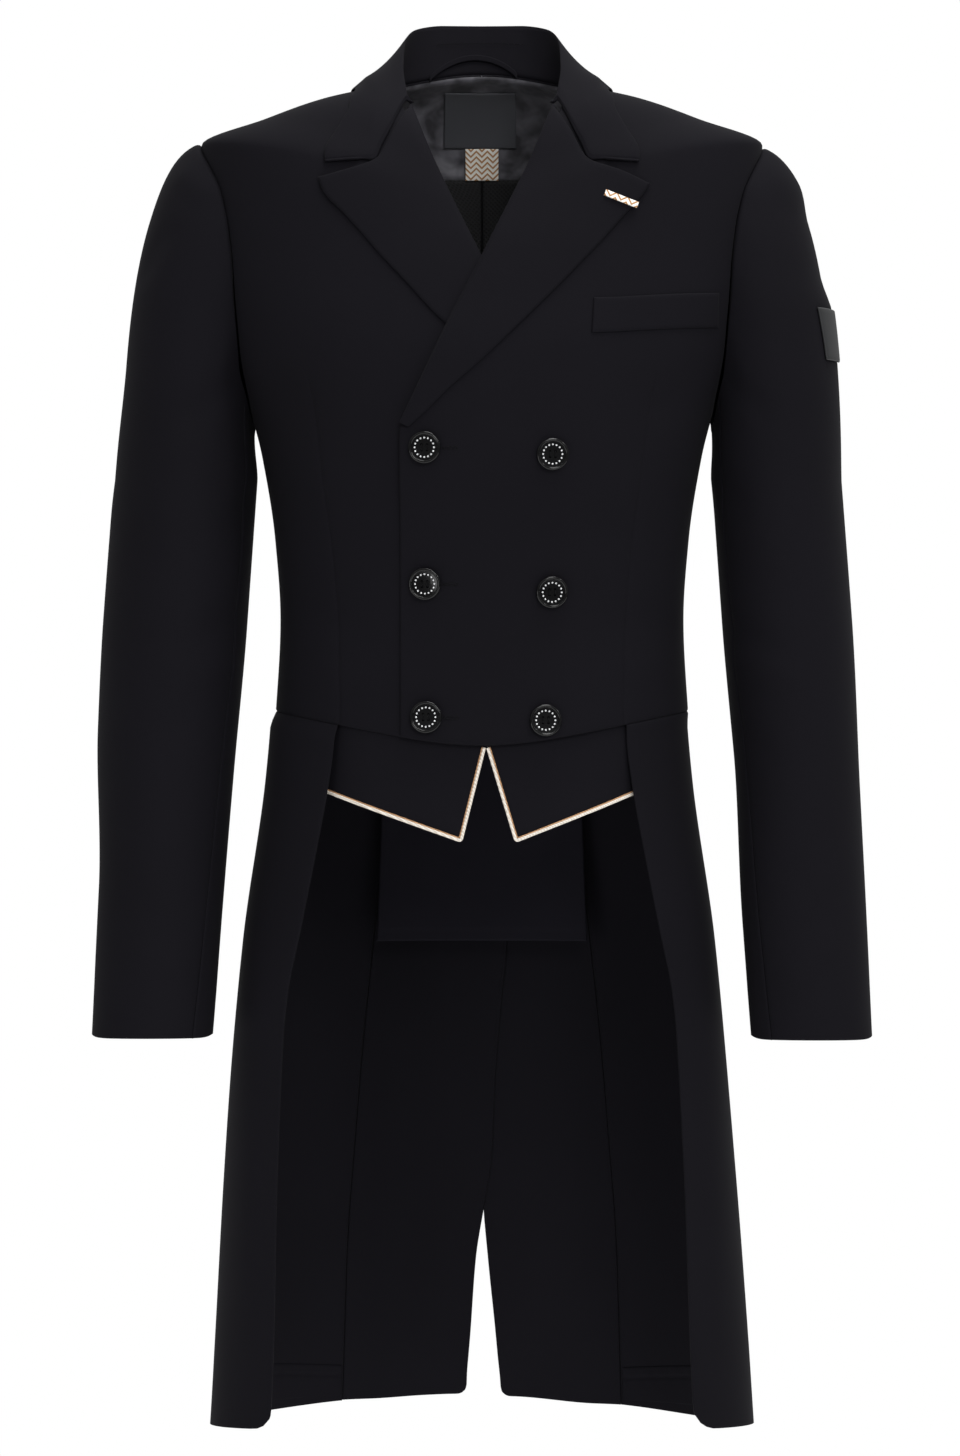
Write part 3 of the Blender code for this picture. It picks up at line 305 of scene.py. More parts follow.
def twisted_cord(name, dark, light, shine=0.3):
    material, tree, shader = finish(
        name, Roughness=0.62, Specular_IOR_Level=shine, Sheen_Weight=shine / 2
    )
    twist = ribbed(tree, place_on(tree), CORD_TWIST_MM, "DIAGONAL", 0.5)
    # Painted shade: the twist's grooves are coloured darker and its ridges lighter.
    coloured_between(tree, shader, twist, dark, light)
    embossed(tree, shader, twist, 0.5, 0.0003)
    return material


def herringbone_tape():
    """Twill ribs that turn back on themselves, in two colours of yarn."""
    material, tree, shader = finish(
        "herringbone tape", Roughness=0.6, Specular_IOR_Level=0.3, Sheen_Weight=0.1
    )

    def reckoned(operation, *values):
        return node(tree, "ShaderNodeMath", dict(enumerate(values)), operation=operation).outputs[0]

    axes = node(tree, "ShaderNodeSeparateXYZ", {"Vector": grain_of(tree)})
    zigzag = reckoned("PINGPONG", axes.outputs["X"], CHEVRON_MM / 2000)
    slant = reckoned("ADD", zigzag, axes.outputs["Y"])
    rib = reckoned("SINE", reckoned("MULTIPLY", slant, math.tau * 1000 / HERRINGBONE_MM))
    coloured_between(tree, shader, stepped(tree, rib, 0.1, 0.6), "#f6f2ea", "#ad7c4a")
    embossed(tree, shader, rib, 0.4, 0.0002)
    return material


def damask_label():
    material, tree, shader = finish(
        "damask label", Roughness=0.55, Specular_IOR_Level=0.35, Sheen_Weight=0.1
    )
    weft = ribbed(tree, grain_of(tree), DAMASK_MM, "Y", 0.3)
    # Painted shade: the weft's grooves are coloured darker and its ribs lighter.
    coloured_between(tree, shader, weft, "#3a3b40", "#494a4f")
    embossed(tree, shader, weft, 0.4, 0.0001)
    return material


CREAM_CORD = twisted_cord("cream cord", "#cfc5b8", "#efe8dd")
TAN_CORD = twisted_cord("tan cord", "#9a7350", "#bf9268")
TAPE, LABEL_WEAVE = herringbone_tape(), damask_label()
THREAD = twisted_cord("sewing thread", "#050506", "#0d0d10", shine=0.06)

# %% [markdown]
# **Buttons and badge.** The buttons are cast polyester resin, polished in a tumbler: black, almost
# a mirror, with faint waves from the tumbling. The patch on the sleeve is moulded rubber, dull grey
# with a fine grain of the mould. The beads on the buttons are pale and pearly.

# %% Resin and rubber
TUMBLE_MM, MOULD_GRAIN_MM = 6.0, 0.5


def polished_resin():
    material, tree, shader = finish(
        "polished resin", Base_Color=linear("#060607"), Specular_IOR_Level=0.3
    )
    waves = cloudy(tree, TUMBLE_MM, 2.0)
    roughened(tree, shader, waves, 0.06, 0.16)
    embossed(tree, shader, waves, 0.15, 0.0005)
    return material


def moulded_rubber():
    material, tree, shader = finish("moulded rubber", Specular_IOR_Level=0.4)
    grain = cloudy(tree, MOULD_GRAIN_MM, 3.0)
    coloured_between(tree, shader, grain, "#1a1b1c", "#202123")
    roughened(tree, shader, grain, 0.45, 0.65)
    embossed(tree, shader, grain, 0.3, 0.0001)
    return material


RESIN, RUBBER = polished_resin(), moulded_rubber()
PEARL = finish("pearl bead", Base_Color=linear("#dcdddf"), Roughness=0.3)[0]
print("finishes:", sorted(m.name for m in bpy.data.materials if m.users == 0))

# %% [markdown]
# The floor is matt white vinyl, as under a studio's backdrop, and glows a little, so that it stays
# pale and lights the coat from below. It ends behind the coat, where this camera doesn't see it.

# %% Floor
FLOOR_Z, FLOOR_RADIUS, FLOOR_GLOW = -1.75, 4.0, 0.25

vinyl_floor, _, _ = finish(
    "vinyl floor", Base_Color=linear("#f7f7f7"), Roughness=0.9, Specular_IOR_Level=0.1,
    Emission_Color=linear("#ffffff"), Emission_Strength=FLOOR_GLOW,
)
bpy.ops.mesh.primitive_circle_add(
    vertices=96, radius=FLOOR_RADIUS, fill_type="NGON", location=(0, 0, FLOOR_Z)
)
floor = bpy.context.object
floor.name = "studio_floor"
floor.data.materials.append(vinyl_floor)

# %% [markdown]
# ## The body form
#
# A tailor drafts on a dress form. Here the form is a stack of rings, hem to neck, with a smooth
# curve through them. A place on it is an angle round the body and a ring, so a seam is just an
# angle for each ring, and neighbouring pieces that share it fit without a gap.

# %% Curves through tables
CLOTH, LINING_CLOTH, GAP = 0.0015, 0.0010, 0.0003
PLY = CLOTH + GAP
SIDES = (("left", 1), ("right", -1))  # the wearer's sides, and the sign of their x


def eased(x):
    """Smooth step from 0 to 1."""
    x = np.clip(x, 0.0, 1.0)
    return x * x * (3.0 - 2.0 * x)


def fade(value, start, end):
    """0 before start, 1 after end and smooth between them."""
    return eased((value - start) / (end - start))


def through(knots, values, at):
    """A smooth curve through a table, without overshoot (monotone cubic)."""
    knots, values = np.asarray(knots, float), np.asarray(values, float)
    at = np.clip(np.asarray(at, float), knots[0], knots[-1])
    step = np.diff(knots)
    slope = np.diff(values) / step
    tangent = np.zeros_like(values)
    tangent[0], tangent[-1] = slope[0], slope[-1]
    same = slope[:-1] * slope[1:] > 0
    mean = 2 * slope[:-1] * slope[1:] / np.where(same, slope[:-1] + slope[1:], 1.0)
    tangent[1:-1] = np.where(same, mean, 0.0)
    cell = np.clip(np.searchsorted(knots, at, side="right") - 1, 0, len(step) - 1)
    t = (at - knots[cell]) / step[cell]
    low = values[cell] + t * t * (3 - 2 * t) * (values[cell + 1] - values[cell])
    bend = t * (1 - t) * ((1 - t) * tangent[cell] - t * tangent[cell + 1])
    return low + bend * step[cell]


def shares(count):
    return np.linspace(0.0, 1.0, count)


def between(stops, count):
    """Each stretch between stops cut into count equal steps."""
    stops = np.asarray(stops, float)
    steps = np.arange(count) / count
    return np.append((stops[:-1, None] + np.diff(stops)[:, None] * steps).ravel(), stops[-1])


def mirrored(points, side):
    return points * np.array([side, 1.0, 1.0])


def unit(vectors):
    return vectors / np.linalg.norm(vectors, axis=-1, keepdims=True)


def walk(path):
    """Distances along a path of points, from 0 at its start."""
    return np.concatenate([[0.0], np.linalg.norm(np.diff(path, axis=0), axis=-1).cumsum()])


def bell(off, width):
    return np.exp(-((off / width) ** 2))


# %% The form's rings
Ring = namedtuple("Ring", "side_z front_z back_z half_width front_depth back_depth square")
RINGS = (
    Ring(-1.012, -1.012, -1.012, 0.2065, 0.112, 0.150, 2.30),  # tail hem
    Ring(-0.832, -0.838, -0.832, 0.1940, 0.115, 0.140, 2.30),
    Ring(-0.650, -0.668, -0.650, 0.1780, 0.117, 0.122, 2.30),
    Ring(-0.528, -0.552, -0.530, 0.1610, 0.115, 0.104, 2.30),
    Ring(-0.476, -0.502, -0.480, 0.1565, 0.113, 0.097, 2.30),  # waist seam
    Ring(-0.407, -0.430, -0.408, 0.1530, 0.111, 0.097, 2.30),  # narrowest waist
    Ring(-0.346, -0.365, -0.346, 0.1570, 0.117, 0.106, 2.30),
    Ring(-0.285, -0.300, -0.284, 0.1665, 0.124, 0.117, 2.30),
    Ring(-0.262, -0.275, -0.260, 0.1720, 0.125, 0.120, 2.30),  # armhole bottom
    Ring(-0.200, -0.216, -0.194, 0.1930, 0.123, 0.124, 2.30),
    Ring(-0.140, -0.168, -0.128, 0.2060, 0.115, 0.122, 2.25),
    Ring(-0.085, -0.132, -0.078, 0.2120, 0.106, 0.115, 2.20),
    Ring(-0.047, -0.104, -0.040, 0.2130, 0.096, 0.107, 2.20),  # shoulder end
    Ring(-0.027, -0.081, -0.016, 0.1650, 0.086, 0.099, 2.10),
    Ring(-0.011, -0.060, 0.004, 0.1200, 0.077, 0.086, 2.05),
    Ring(0.000, -0.045, 0.016, 0.0700, 0.067, 0.066, 2.00),  # neck seam
)
RING_TABLE = np.array(RINGS)
HEM, WAIST, NARROWEST, ARMPIT, SHOULDER, NECK = -1.012, -0.476, -0.407, -0.262, -0.047, 0.0
D_ANGLE, D_RING = 0.05, 0.0002  # degrees and metres over which a slope is taken


def on_body(angle, ring):
    """Point of the form. angle is in degrees from the wearer's left side, negative in front."""
    angle, ring = np.broadcast_arrays(np.asarray(angle, float), np.asarray(ring, float))
    side_z, front_z, back_z, half, front, back, square = (
        through(RING_TABLE[:, 0], column, ring) for column in RING_TABLE.T
    )
    across, along = np.cos(np.radians(angle)), np.sin(np.radians(angle))
    depth = np.where(along < 0, front, back)
    reach = (np.abs(across / half) ** square + np.abs(along / depth) ** square) ** (-1 / square)
    tilt = np.where(along < 0, front_z, back_z) - side_z
    return np.stack([reach * across, reach * along, side_z + tilt * along**2], axis=-1)


def off_body(angle, ring, lift):
    """Point of the form moved out along its normal."""
    angle, ring = np.asarray(angle), np.clip(ring, HEM + D_RING, NECK - D_RING)
    here = on_body(angle, ring)
    around = on_body(angle + D_ANGLE, ring) - on_body(angle - D_ANGLE, ring)
    up = on_body(angle, ring + D_RING) - on_body(angle, ring - D_RING)
    return here + unit(np.cross(around, up)) * np.asarray(lift, float)[..., None]


# %% Finding places on the form
FIND_ROUNDS, MOST_TURN, MOST_RISE = 14, 12, 0.03  # of each round: degrees and metres at most
FIRST_HALF_WIDTH, FIRST_REACH = 0.17, 0.95  # a round body, not quite to its side
HALVINGS, LAST_ANGLE = 40, 178.0


def find_on_body(x, z, facing):
    """(angle, ring) of the point that shows at (x, z) from the front (facing -1) or back (1)."""
    x, z = np.broadcast_arrays(np.asarray(x, float), np.asarray(z, float))
    ring = np.clip(z, HEM, NECK - 0.002)
    across = np.clip(x / FIRST_HALF_WIDTH, -FIRST_REACH, FIRST_REACH)
    angle = 90.0 * facing - facing * np.degrees(np.arcsin(across))
    for _ in range(FIND_ROUNDS):
        here = on_body(angle, ring)
        by_angle = (on_body(angle + D_ANGLE, ring) - here) / D_ANGLE
        by_ring = (on_body(angle, ring - D_RING) - here) / -D_RING
        miss_x, miss_z = x - here[..., 0], z - here[..., 2]
        scale = by_angle[..., 0] * by_ring[..., 2] - by_ring[..., 0] * by_angle[..., 2]
        turn = (miss_x * by_ring[..., 2] - miss_z * by_ring[..., 0]) / scale
        rise = (by_angle[..., 0] * miss_z - by_angle[..., 2] * miss_x) / scale
        angle = angle + np.clip(turn, -MOST_TURN, MOST_TURN)
        ring = np.clip(ring + np.clip(rise, -MOST_RISE, MOST_RISE), HEM, NECK)
    return angle, ring


def show_at(x, z, lift, facing=-1):
    """Point of the form that shows at (x, z), moved out by lift."""
    angle, ring = find_on_body(x, z, facing)
    return off_body(angle, ring, np.broadcast_to(lift, np.shape(angle)))


def parted(flat):
    """The x and the z of a grid of places (x, z)."""
    return flat[..., 0], flat[..., 1]


def angle_where(ring, line_z, line_x, facing):
    """Angle at which a ring crosses the line x(z) that is drawn on the front or back."""
    ring = np.atleast_1d(np.asarray(ring, float))
    low, high = np.full(ring.shape, 0.0), np.full(ring.shape, LAST_ANGLE * facing)
    for _ in range(HALVINGS):
        middle = (low + high) / 2
        here = on_body(middle, ring)
        beyond = here[:, 0] > through(line_z, line_x, here[:, 2])
        low, high = np.where(beyond, middle, low), np.where(beyond, high, middle)
    return (low + high) / 2


print("waist, mm round:", round(1000 * walk(on_body(np.arange(361), NARROWEST))[-1]))

# %% [markdown]
# ## Cutting and sewing
#
# A pressed seam shows as a narrow valley, because both pieces turn down into it. So each piece
# gets edge loops beside its seams, under 2 mm away, and dips there. One function turns a grid of
# points into a sheet of cloth: it gives it thickness, lays the grain as UVs in metres, and notes
# what it stands for and how large it was cut.

# %% Edge loops and their dip
LOOPS = np.array((0.0, 0.0008, 0.0018))  # metres from a seam
DIP = np.array((0.0009, 0.0003, 0.0))  # how deep the cloth turns down there


def dip_at(distance):
    return np.interp(distance, LOOPS, DIP)


def looped(count, length):
    """Shares from 0 to 1 with edge loops at both ends, on a stretch of this length."""
    near = LOOPS / length
    return np.concatenate([near[:-1], np.linspace(near[-1], 1 - near[-1], count), 1 - near[-2::-1]])


def edge_dips(rows, length, columns, width, edges=(1.0, 1.0, 1.0, 1.0)):
    """Dips of a grid at its first row, last row, first column and last column."""
    first, last = dip_at(rows * length) * edges[0], dip_at((1 - rows) * length) * edges[1]
    left, right = dip_at(columns * width) * edges[2], dip_at((1 - columns) * width) * edges[3]
    return np.maximum(np.maximum(first, last)[:, None], np.maximum(left, right)[None, :])


# %% A grid becomes a sheet of cloth
Cut = namedtuple("Cut", "piece size area held")
CUTS, TRIMS = [], {}
TO_FRONT, TO_BACK = (0, -1, 0), (0, 1, 0)


def outward_normals(points, outward):
    normal = np.cross(np.gradient(points, axis=1), np.gradient(points, axis=0))
    normal /= np.maximum(np.linalg.norm(normal, axis=-1, keepdims=True), 1e-12)
    return normal * np.sign((normal * np.array(outward)).sum())


def finished(piece, name, material=None):
    """What every piece needs: its finish, its body and the node that it stands for."""
    if material:
        piece.data.materials.append(material)
    bpy.context.scene.collection.objects.link(piece)
    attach(piece, "root")
    if name in frame["nodes"]:
        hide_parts(name)
    return piece


def cloth(name, points, outward=TO_FRONT, material=COAT_CLOTH, wall=CLOTH,
          held="hung", dips=0.0, carrier=None):
    """Sews a sheet from its outer face, a grid of points. outward is the way that this face looks.

    A narrow strip that is sewn to a carrier is one of its trims, and isn't a sheet by itself.
    """
    points = points - outward_normals(points, outward) * np.asarray(dips)[..., None]
    rows, columns = points.shape[:2]
    index = np.arange(rows * columns).reshape(rows, columns)
    corners = [index[:-1, :-1], index[:-1, 1:], index[1:, 1:], index[1:, :-1]]
    faces = np.stack(corners, -1).reshape(-1, 4)
    places = points.reshape(-1, 3)
    across = places[faces[:, 2]] - places[faces[:, 0]], places[faces[:, 3]] - places[faces[:, 1]]
    normals = np.cross(*across)
    if normals.sum(axis=0) @ np.array(outward) < 0:
        faces = faces[:, ::-1]
    mesh = bpy.data.meshes.new(name)
    mesh.from_pydata(places.tolist(), [], faces.tolist())
    width = np.linalg.norm(np.diff(points, axis=1), axis=-1).cumsum(axis=1)
    length = np.linalg.norm(np.diff(points, axis=0), axis=-1).cumsum(axis=0)
    u, v = np.pad(width, ((0, 0), (1, 0))), np.pad(length, ((1, 0), (0, 0)))
    grain = mesh.uv_layers.new(name="grain")
    grain.data.foreach_set("uv", np.stack([u, v], -1).reshape(-1, 2)[faces.ravel()].ravel())
    mesh.shade_smooth()
    piece = finished(bpy.data.objects.new(f"{name}_sewn", mesh), name, material)
    solid = piece.modifiers.new("cloth", "SOLIDIFY")
    solid.thickness, solid.offset = wall, -1.0
    size = width[:, -1].max(), np.median(length[-1])
    area = np.linalg.norm(normals, axis=1).sum() / 2
    if carrier:
        TRIMS.setdefault(carrier, []).append(piece)
    else:
        CUTS.append(Cut(piece, size, min(area, size[0] * size[1]), held))


def tell(what, cut):
    print(f"cut of the {what}, mm:", [round(1000 * s) for s in cut.size])


def cord_along(name, paths, radius, material, carrier):
    """A round cord or thread along each path, sewn to the piece that carries it."""
    curve = bpy.data.curves.new(name, "CURVE")
    curve.dimensions = "3D"
    for path in paths:
        spline = curve.splines.new("POLY")
        spline.points.add(len(path) - 1)
        spline.points.foreach_set("co", np.pad(path, ((0, 0), (0, 1)), constant_values=1.0).ravel())
    curve.bevel_depth, curve.bevel_resolution, curve.use_fill_caps = radius, 3, True
    made = finished(bpy.data.objects.new(f"{name}_cord", curve), name, material)
    TRIMS.setdefault(carrier, []).append(made)


# %% [markdown]
# ## Creases
#
# Worn cloth shows where it is pulled: from the armpits, at the buttons and the waist, and down the
# tails in long soft flutes. Each crease is given as a line on the front or back, with a width and
# a height, and fades out at its ends. The same kind of creases go on the sides that the picture
# doesn't show.

# %% Crease tables
Crease = namedtuple("Crease", "from_x from_z to_x to_z width height")
FRONT_CREASES = (
    Crease(0.172, -0.215, 0.120, -0.262, 0.013, -0.0016),
    Crease(-0.172, -0.215, -0.118, -0.265, 0.013, -0.0018),
    Crease(0.165, -0.250, 0.085, -0.330, 0.017, 0.0012),
    Crease(-0.166, -0.250, -0.090, -0.335, 0.017, 0.0013),
    Crease(0.148, -0.400, 0.070, -0.425, 0.014, -0.0011),
    Crease(-0.148, -0.395, -0.072, -0.420, 0.014, -0.0013),
    Crease(0.150, -0.440, 0.100, -0.452, 0.011, 0.0009),
    Crease(-0.150, -0.436, -0.095, -0.455, 0.011, 0.0010),
    Crease(0.165, -0.560, 0.180, -0.980, 0.014, 0.0024),
    Crease(-0.163, -0.560, -0.178, -0.980, 0.014, 0.0026),
    Crease(0.150, -0.640, 0.168, -0.990, 0.010, -0.0016),
    Crease(-0.149, -0.640, -0.166, -0.990, 0.010, -0.0018),
)
BACK_CREASES = (
    Crease(0.168, -0.200, 0.090, -0.255, 0.014, -0.0020),
    Crease(-0.168, -0.205, -0.095, -0.250, 0.014, -0.0018),
    Crease(0.120, -0.135, 0.050, -0.175, 0.020, 0.0014),
    Crease(-0.118, -0.130, -0.055, -0.180, 0.020, 0.0016),
    Crease(0.130, -0.385, 0.020, -0.402, 0.012, -0.0016),
    Crease(-0.128, -0.392, -0.025, -0.410, 0.012, -0.0014),
    Crease(0.120, -0.430, 0.030, -0.440, 0.010, 0.0012),
    Crease(-0.118, -0.437, -0.028, -0.447, 0.010, 0.0011),
    Crease(0.085, -0.560, 0.100, -0.985, 0.014, 0.0026),
    Crease(-0.085, -0.560, -0.098, -0.985, 0.014, 0.0024),
    Crease(0.135, -0.560, 0.165, -0.985, 0.016, 0.0028),
    Crease(-0.138, -0.560, -0.163, -0.985, 0.016, 0.0026),
)
CREASE_END = 0.3  # share of a crease's length over which it fades at each end
SIDE_Y = 0.045  # creases fade this near to the side, where front and back meet


def creased(x, z, table):
    """Height of the creases of a table at (x, z)."""
    height = np.zeros(np.broadcast(x, z).shape)
    for crease in table:
        run_x, run_z = crease.to_x - crease.from_x, crease.to_z - crease.from_z
        length = math.hypot(run_x, run_z)
        at_x, at_z = x - crease.from_x, z - crease.from_z
        share = (at_x * run_x + at_z * run_z) / length**2
        off = (at_x * run_z - at_z * run_x) / length
        ends = fade(share, 0.0, CREASE_END) * fade(share, 1.0, 1.0 - CREASE_END)
        height += crease.height * ends * bell(off, crease.width)
    return height


def body_creases(flat, side):
    """Creases of a body piece at points of the form. side is 1 for the wearer's left."""
    x, y, z = flat[..., 0] * side, flat[..., 1], flat[..., 2]
    height = np.where(y < 0, creased(x, z, FRONT_CREASES), creased(x, z, BACK_CREASES))
    return height * fade(np.abs(y), 0.0, SIDE_Y)


# %% [markdown]
# ## The coat's own lines
#
# These are the tailor's measurements: where seams run, how the vent laps and where the lapel
# rolls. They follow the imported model's own values, so that the cloth fits the frame. The wearer's
# left and right tails hang a little differently, so some values are kept for each side.

# %% Seams
Notch = namedtuple("Notch", "angle ring")
ARMHOLE = (
    Notch(0.0, SHOULDER), Notch(-8.0, -0.064), Notch(-13.0, -0.085), Notch(-15.5, -0.112),
    Notch(-16.5, -0.145), Notch(-16.0, -0.180), Notch(-13.5, -0.212), Notch(-9.5, -0.238),
    Notch(-4.0, -0.254), Notch(2.0, ARMPIT), Notch(9.0, -0.252), Notch(14.5, -0.232),
    Notch(18.5, -0.205), Notch(21.0, -0.172), Notch(21.5, -0.140), Notch(19.5, -0.110),
    Notch(15.5, -0.084), Notch(9.5, -0.067), Notch(0.0, SHOULDER),
)
BOTTOM_NOTCH, BACK_NOTCH = 9, 13
FRONT_SEAM_NOTCH, BACK_SEAM_NOTCH, LAST_NOTCH = 7, 13, len(ARMHOLE) - 1
SIDE_SEAM_ANGLE = ARMHOLE[BOTTOM_NOTCH].angle
NOTCH_ANGLES, NOTCH_RINGS = np.array(ARMHOLE).T
SIDE_BACK_Z = (-1.012, -0.892, -0.808, -0.738, -0.655, -0.560, -0.480, -0.410, -0.340, -0.270, -0.215)
SIDE_BACK_X = (0.1100, 0.1055, 0.0990, 0.0930, 0.0845, 0.0750, 0.0700, 0.0735, 0.0860, 0.1090, 0.1370)
SIDE_BACK_BEND = 0.085
TAIL_EDGE_Z = (-1.012, -0.967, -0.861, -0.754, -0.714, -0.682, -0.647, -0.580, -0.537, -0.500, -0.470)
TAIL_EDGE_X = (0.1575, 0.1560, 0.1535, 0.1490, 0.1465, 0.1425, 0.1350, 0.1215, 0.1135, 0.1085, 0.1070)
TAIL_CORNER = {1: 0.021, -1: 0.016}
SKIRT_HEM_SHARES = (0.0, 0.35, 0.7, 1.0)  # from the front corner to the side-back seam
SKIRT_HEM_RISES = {
    1: (0.0005, -0.0045, -0.0125, -0.0083),
    -1: (0.0005, -0.0050, -0.0085, -0.0050),
}
BACK_HEM_DROP, BACK_HEM_TILT = {1: 0.0038, -1: 0.0015}, {1: 0.0045, -1: 0.0030}
BACK_HEM_TILT_X = (0.020, 0.090)
VENT_TOP, VENT_CORNER, CORNER_SHARE = -0.501, 0.008, 0.9
VENT_Z = (-1.012, -1.000, -0.963, -0.906, -0.862, -0.828, -0.767, -0.711, -0.655, -0.530)
VENT_INNER_X = (-0.0120, -0.0117, -0.0089, -0.0047, 0.0023, 0.0078, 0.0106, 0.0149, 0.0199, 0.0210)
VENT_OUTER_X = (0.0148, 0.0140, 0.0105, 0.0047, 0.0010, 0.0000, 0.0000, 0.0000, 0.0000, 0.0000)
TAIL_LAP, TAIL_LAP_X = PLY + GAP, (0.062, 0.028)
DART_Z = (-0.5020, -0.4965, -0.4680, -0.3936, -0.3028, -0.2618, -0.2275)
DART_X = (0.1068, 0.1067, 0.1060, 0.1085, 0.1180, 0.1235, 0.1300)
DART_TOP_FADE = (-0.225, -0.245)  # heights over which the dart's seam begins


def notch_angles(first, last, rings):
    """Armhole angle at each ring, on the stretch between two notches."""
    order = np.argsort(NOTCH_RINGS[first : last + 1])
    return through(NOTCH_RINGS[first : last + 1][order], NOTCH_ANGLES[first : last + 1][order], rings)


def side_back_angle(ring):
    return angle_where(ring, SIDE_BACK_Z, SIDE_BACK_X, facing=1)


def outer_front_angle(rings):
    """Outer edge of a front: side seam, front of the armhole, then shoulder seam."""
    angle = notch_angles(0, BOTTOM_NOTCH, rings)
    return np.where(rings <= ARMPIT, SIDE_SEAM_ANGLE, np.where(rings >= SHOULDER, 0.0, angle))


def outer_back_angle(rings):
    """Outer edge of a back: side-back seam, back of the armhole, then shoulder seam."""
    junction = ARMHOLE[BACK_NOTCH]
    seam = side_back_angle(np.minimum(rings, junction.ring))
    reach = fade(rings, junction.ring - SIDE_BACK_BEND, junction.ring)
    seam = seam + (junction.angle - side_back_angle(junction.ring)) * reach
    hole = notch_angles(BOTTOM_NOTCH, LAST_NOTCH, rings)
    return np.where(rings <= junction.ring, seam, np.where(rings >= SHOULDER, 0.0, hole))


# %% [markdown]
# The rows of neighbouring pieces follow the same rings, closer than a crease is wide. Extra rows
# lie beside the waist seam and the hems, where the cloth turns.

# %% Rows of the body pieces
NOTCH_STEPS, YOKE_STEPS, BODICE_ROWS, TAIL_ROWS = 5, 5, 46, 100
YOKE_STOPS = (SHOULDER, -0.036, -0.025, -0.015, -0.007, NECK)
BODICE_SHARES = looped(BODICE_ROWS, ARMPIT - WAIST)[:-2]
BODICE_SHARES[-1] = 1.0
YOKE_RINGS = between(YOKE_STOPS, YOKE_STEPS)
FRONT_RINGS = np.concatenate([
    WAIST + BODICE_SHARES * (ARMPIT - WAIST),
    between(NOTCH_RINGS[BOTTOM_NOTCH::-1], NOTCH_STEPS)[1:-1],
    YOKE_RINGS,
])
TAIL_RINGS = HEM + looped(TAIL_ROWS, WAIST - HEM) * (WAIST - HEM)
BACK_RINGS = np.concatenate([
    TAIL_RINGS[:-1],
    WAIST + BODICE_SHARES * (ARMHOLE[BACK_NOTCH].ring - WAIST),
    between(NOTCH_RINGS[BACK_NOTCH:], NOTCH_STEPS)[1:-1],
    YOKE_RINGS,
])
print("rows of front, back, tail:", len(FRONT_RINGS), len(BACK_RINGS), len(TAIL_RINGS))


# %% A body piece between two lines
def panel(stops, counts, widths, dips):
    """Angles of a piece's columns at each ring from stop to stop, and their dips at the stops."""
    angles, drops = [], []
    for k, (count, width) in enumerate(zip(counts, widths)):
        share = looped(count, width)
        start, end = np.asarray(stops[k], float)[:, None], np.asarray(stops[k + 1], float)[:, None]
        near, far = dip_at(share * width), dip_at((1 - share) * width)
        before, after = (np.broadcast_to(dip, len(start))[:, None] for dip in dips[k : k + 2])
        angles.append((start + (end - start) * share)[:, (1 if k else 0) :])
        drops.append((near * before + far * after)[:, (1 if k else 0) :])
    return np.concatenate(angles, axis=1), np.concatenate(drops, axis=1)


# %% [markdown]
# ## Fronts
#
# A double-breasted front runs from the side seam past the middle. Its long dart takes in the waist:
# it is a seam within one piece, so it is a column of the grid that dips. Above the dart's point
# the same column runs on without a dip.

# %% Front edges and the overlap
FRONT_EDGE_X, UNDER_EDGE_X, UNDER_BREAK_STEP, BREAK_Z = -0.060, 0.052, 0.004, -0.266
ROLL_LINE = (
    (-0.0600, -0.2640), (-0.0280, -0.1950), (0.0020, -0.1360), (0.0290, -0.0800),
    (0.0410, -0.0520), (0.0490, -0.0310), (0.0525, -0.0215),
)
ROLL_RADIUS, FLANGE = CLOTH + GAP / 2, 0.002
NECK_STAND_OFF, NECK_STAND_OFF_Z = 0.0026, (-0.080, -0.040)
OVER, PRESSED, PRESSED_Z = 0.0050, 0.0026, (-0.345, -0.285)
OVER_SIDE_X, OVER_NECK_Z = (0.110, 0.065), (-0.060, -0.140)
FREE_EDGE = 0.6  # a free edge is turned and pressed, and dips less than a seam
FRONT_COLUMNS, FRONT_WIDTHS, DART_ANGLE = (14, 34), (0.06, 0.14), -60.0  # beside the dart


def over_lift(x, z):
    """Lift of the overlapping front over the form: full at the middle, none at sides and neck."""
    height = PRESSED + (OVER - PRESSED) * fade(z, *PRESSED_Z)
    return height * fade(x, *OVER_SIDE_X) * fade(z, *OVER_NECK_Z)


def front_inner_angle(rings, over):
    """Inner edge of a front: its free edge up to the break, then the roll line."""
    roll_x, roll_z = np.array(ROLL_LINE).T
    edge_x = FRONT_EDGE_X if over else -UNDER_EDGE_X
    line_z = np.concatenate([[HEM, BREAK_Z - 0.002], roll_z])
    stand_off = ROLL_RADIUS + FLANGE + 4 * GAP + NECK_STAND_OFF * fade(roll_z, *NECK_STAND_OFF_Z)
    line_x = np.concatenate([[edge_x, edge_x], roll_x + stand_off])
    if not over:
        line_x[2] = edge_x + UNDER_BREAK_STEP
    return angle_where(rings, line_z, line_x, facing=-1)


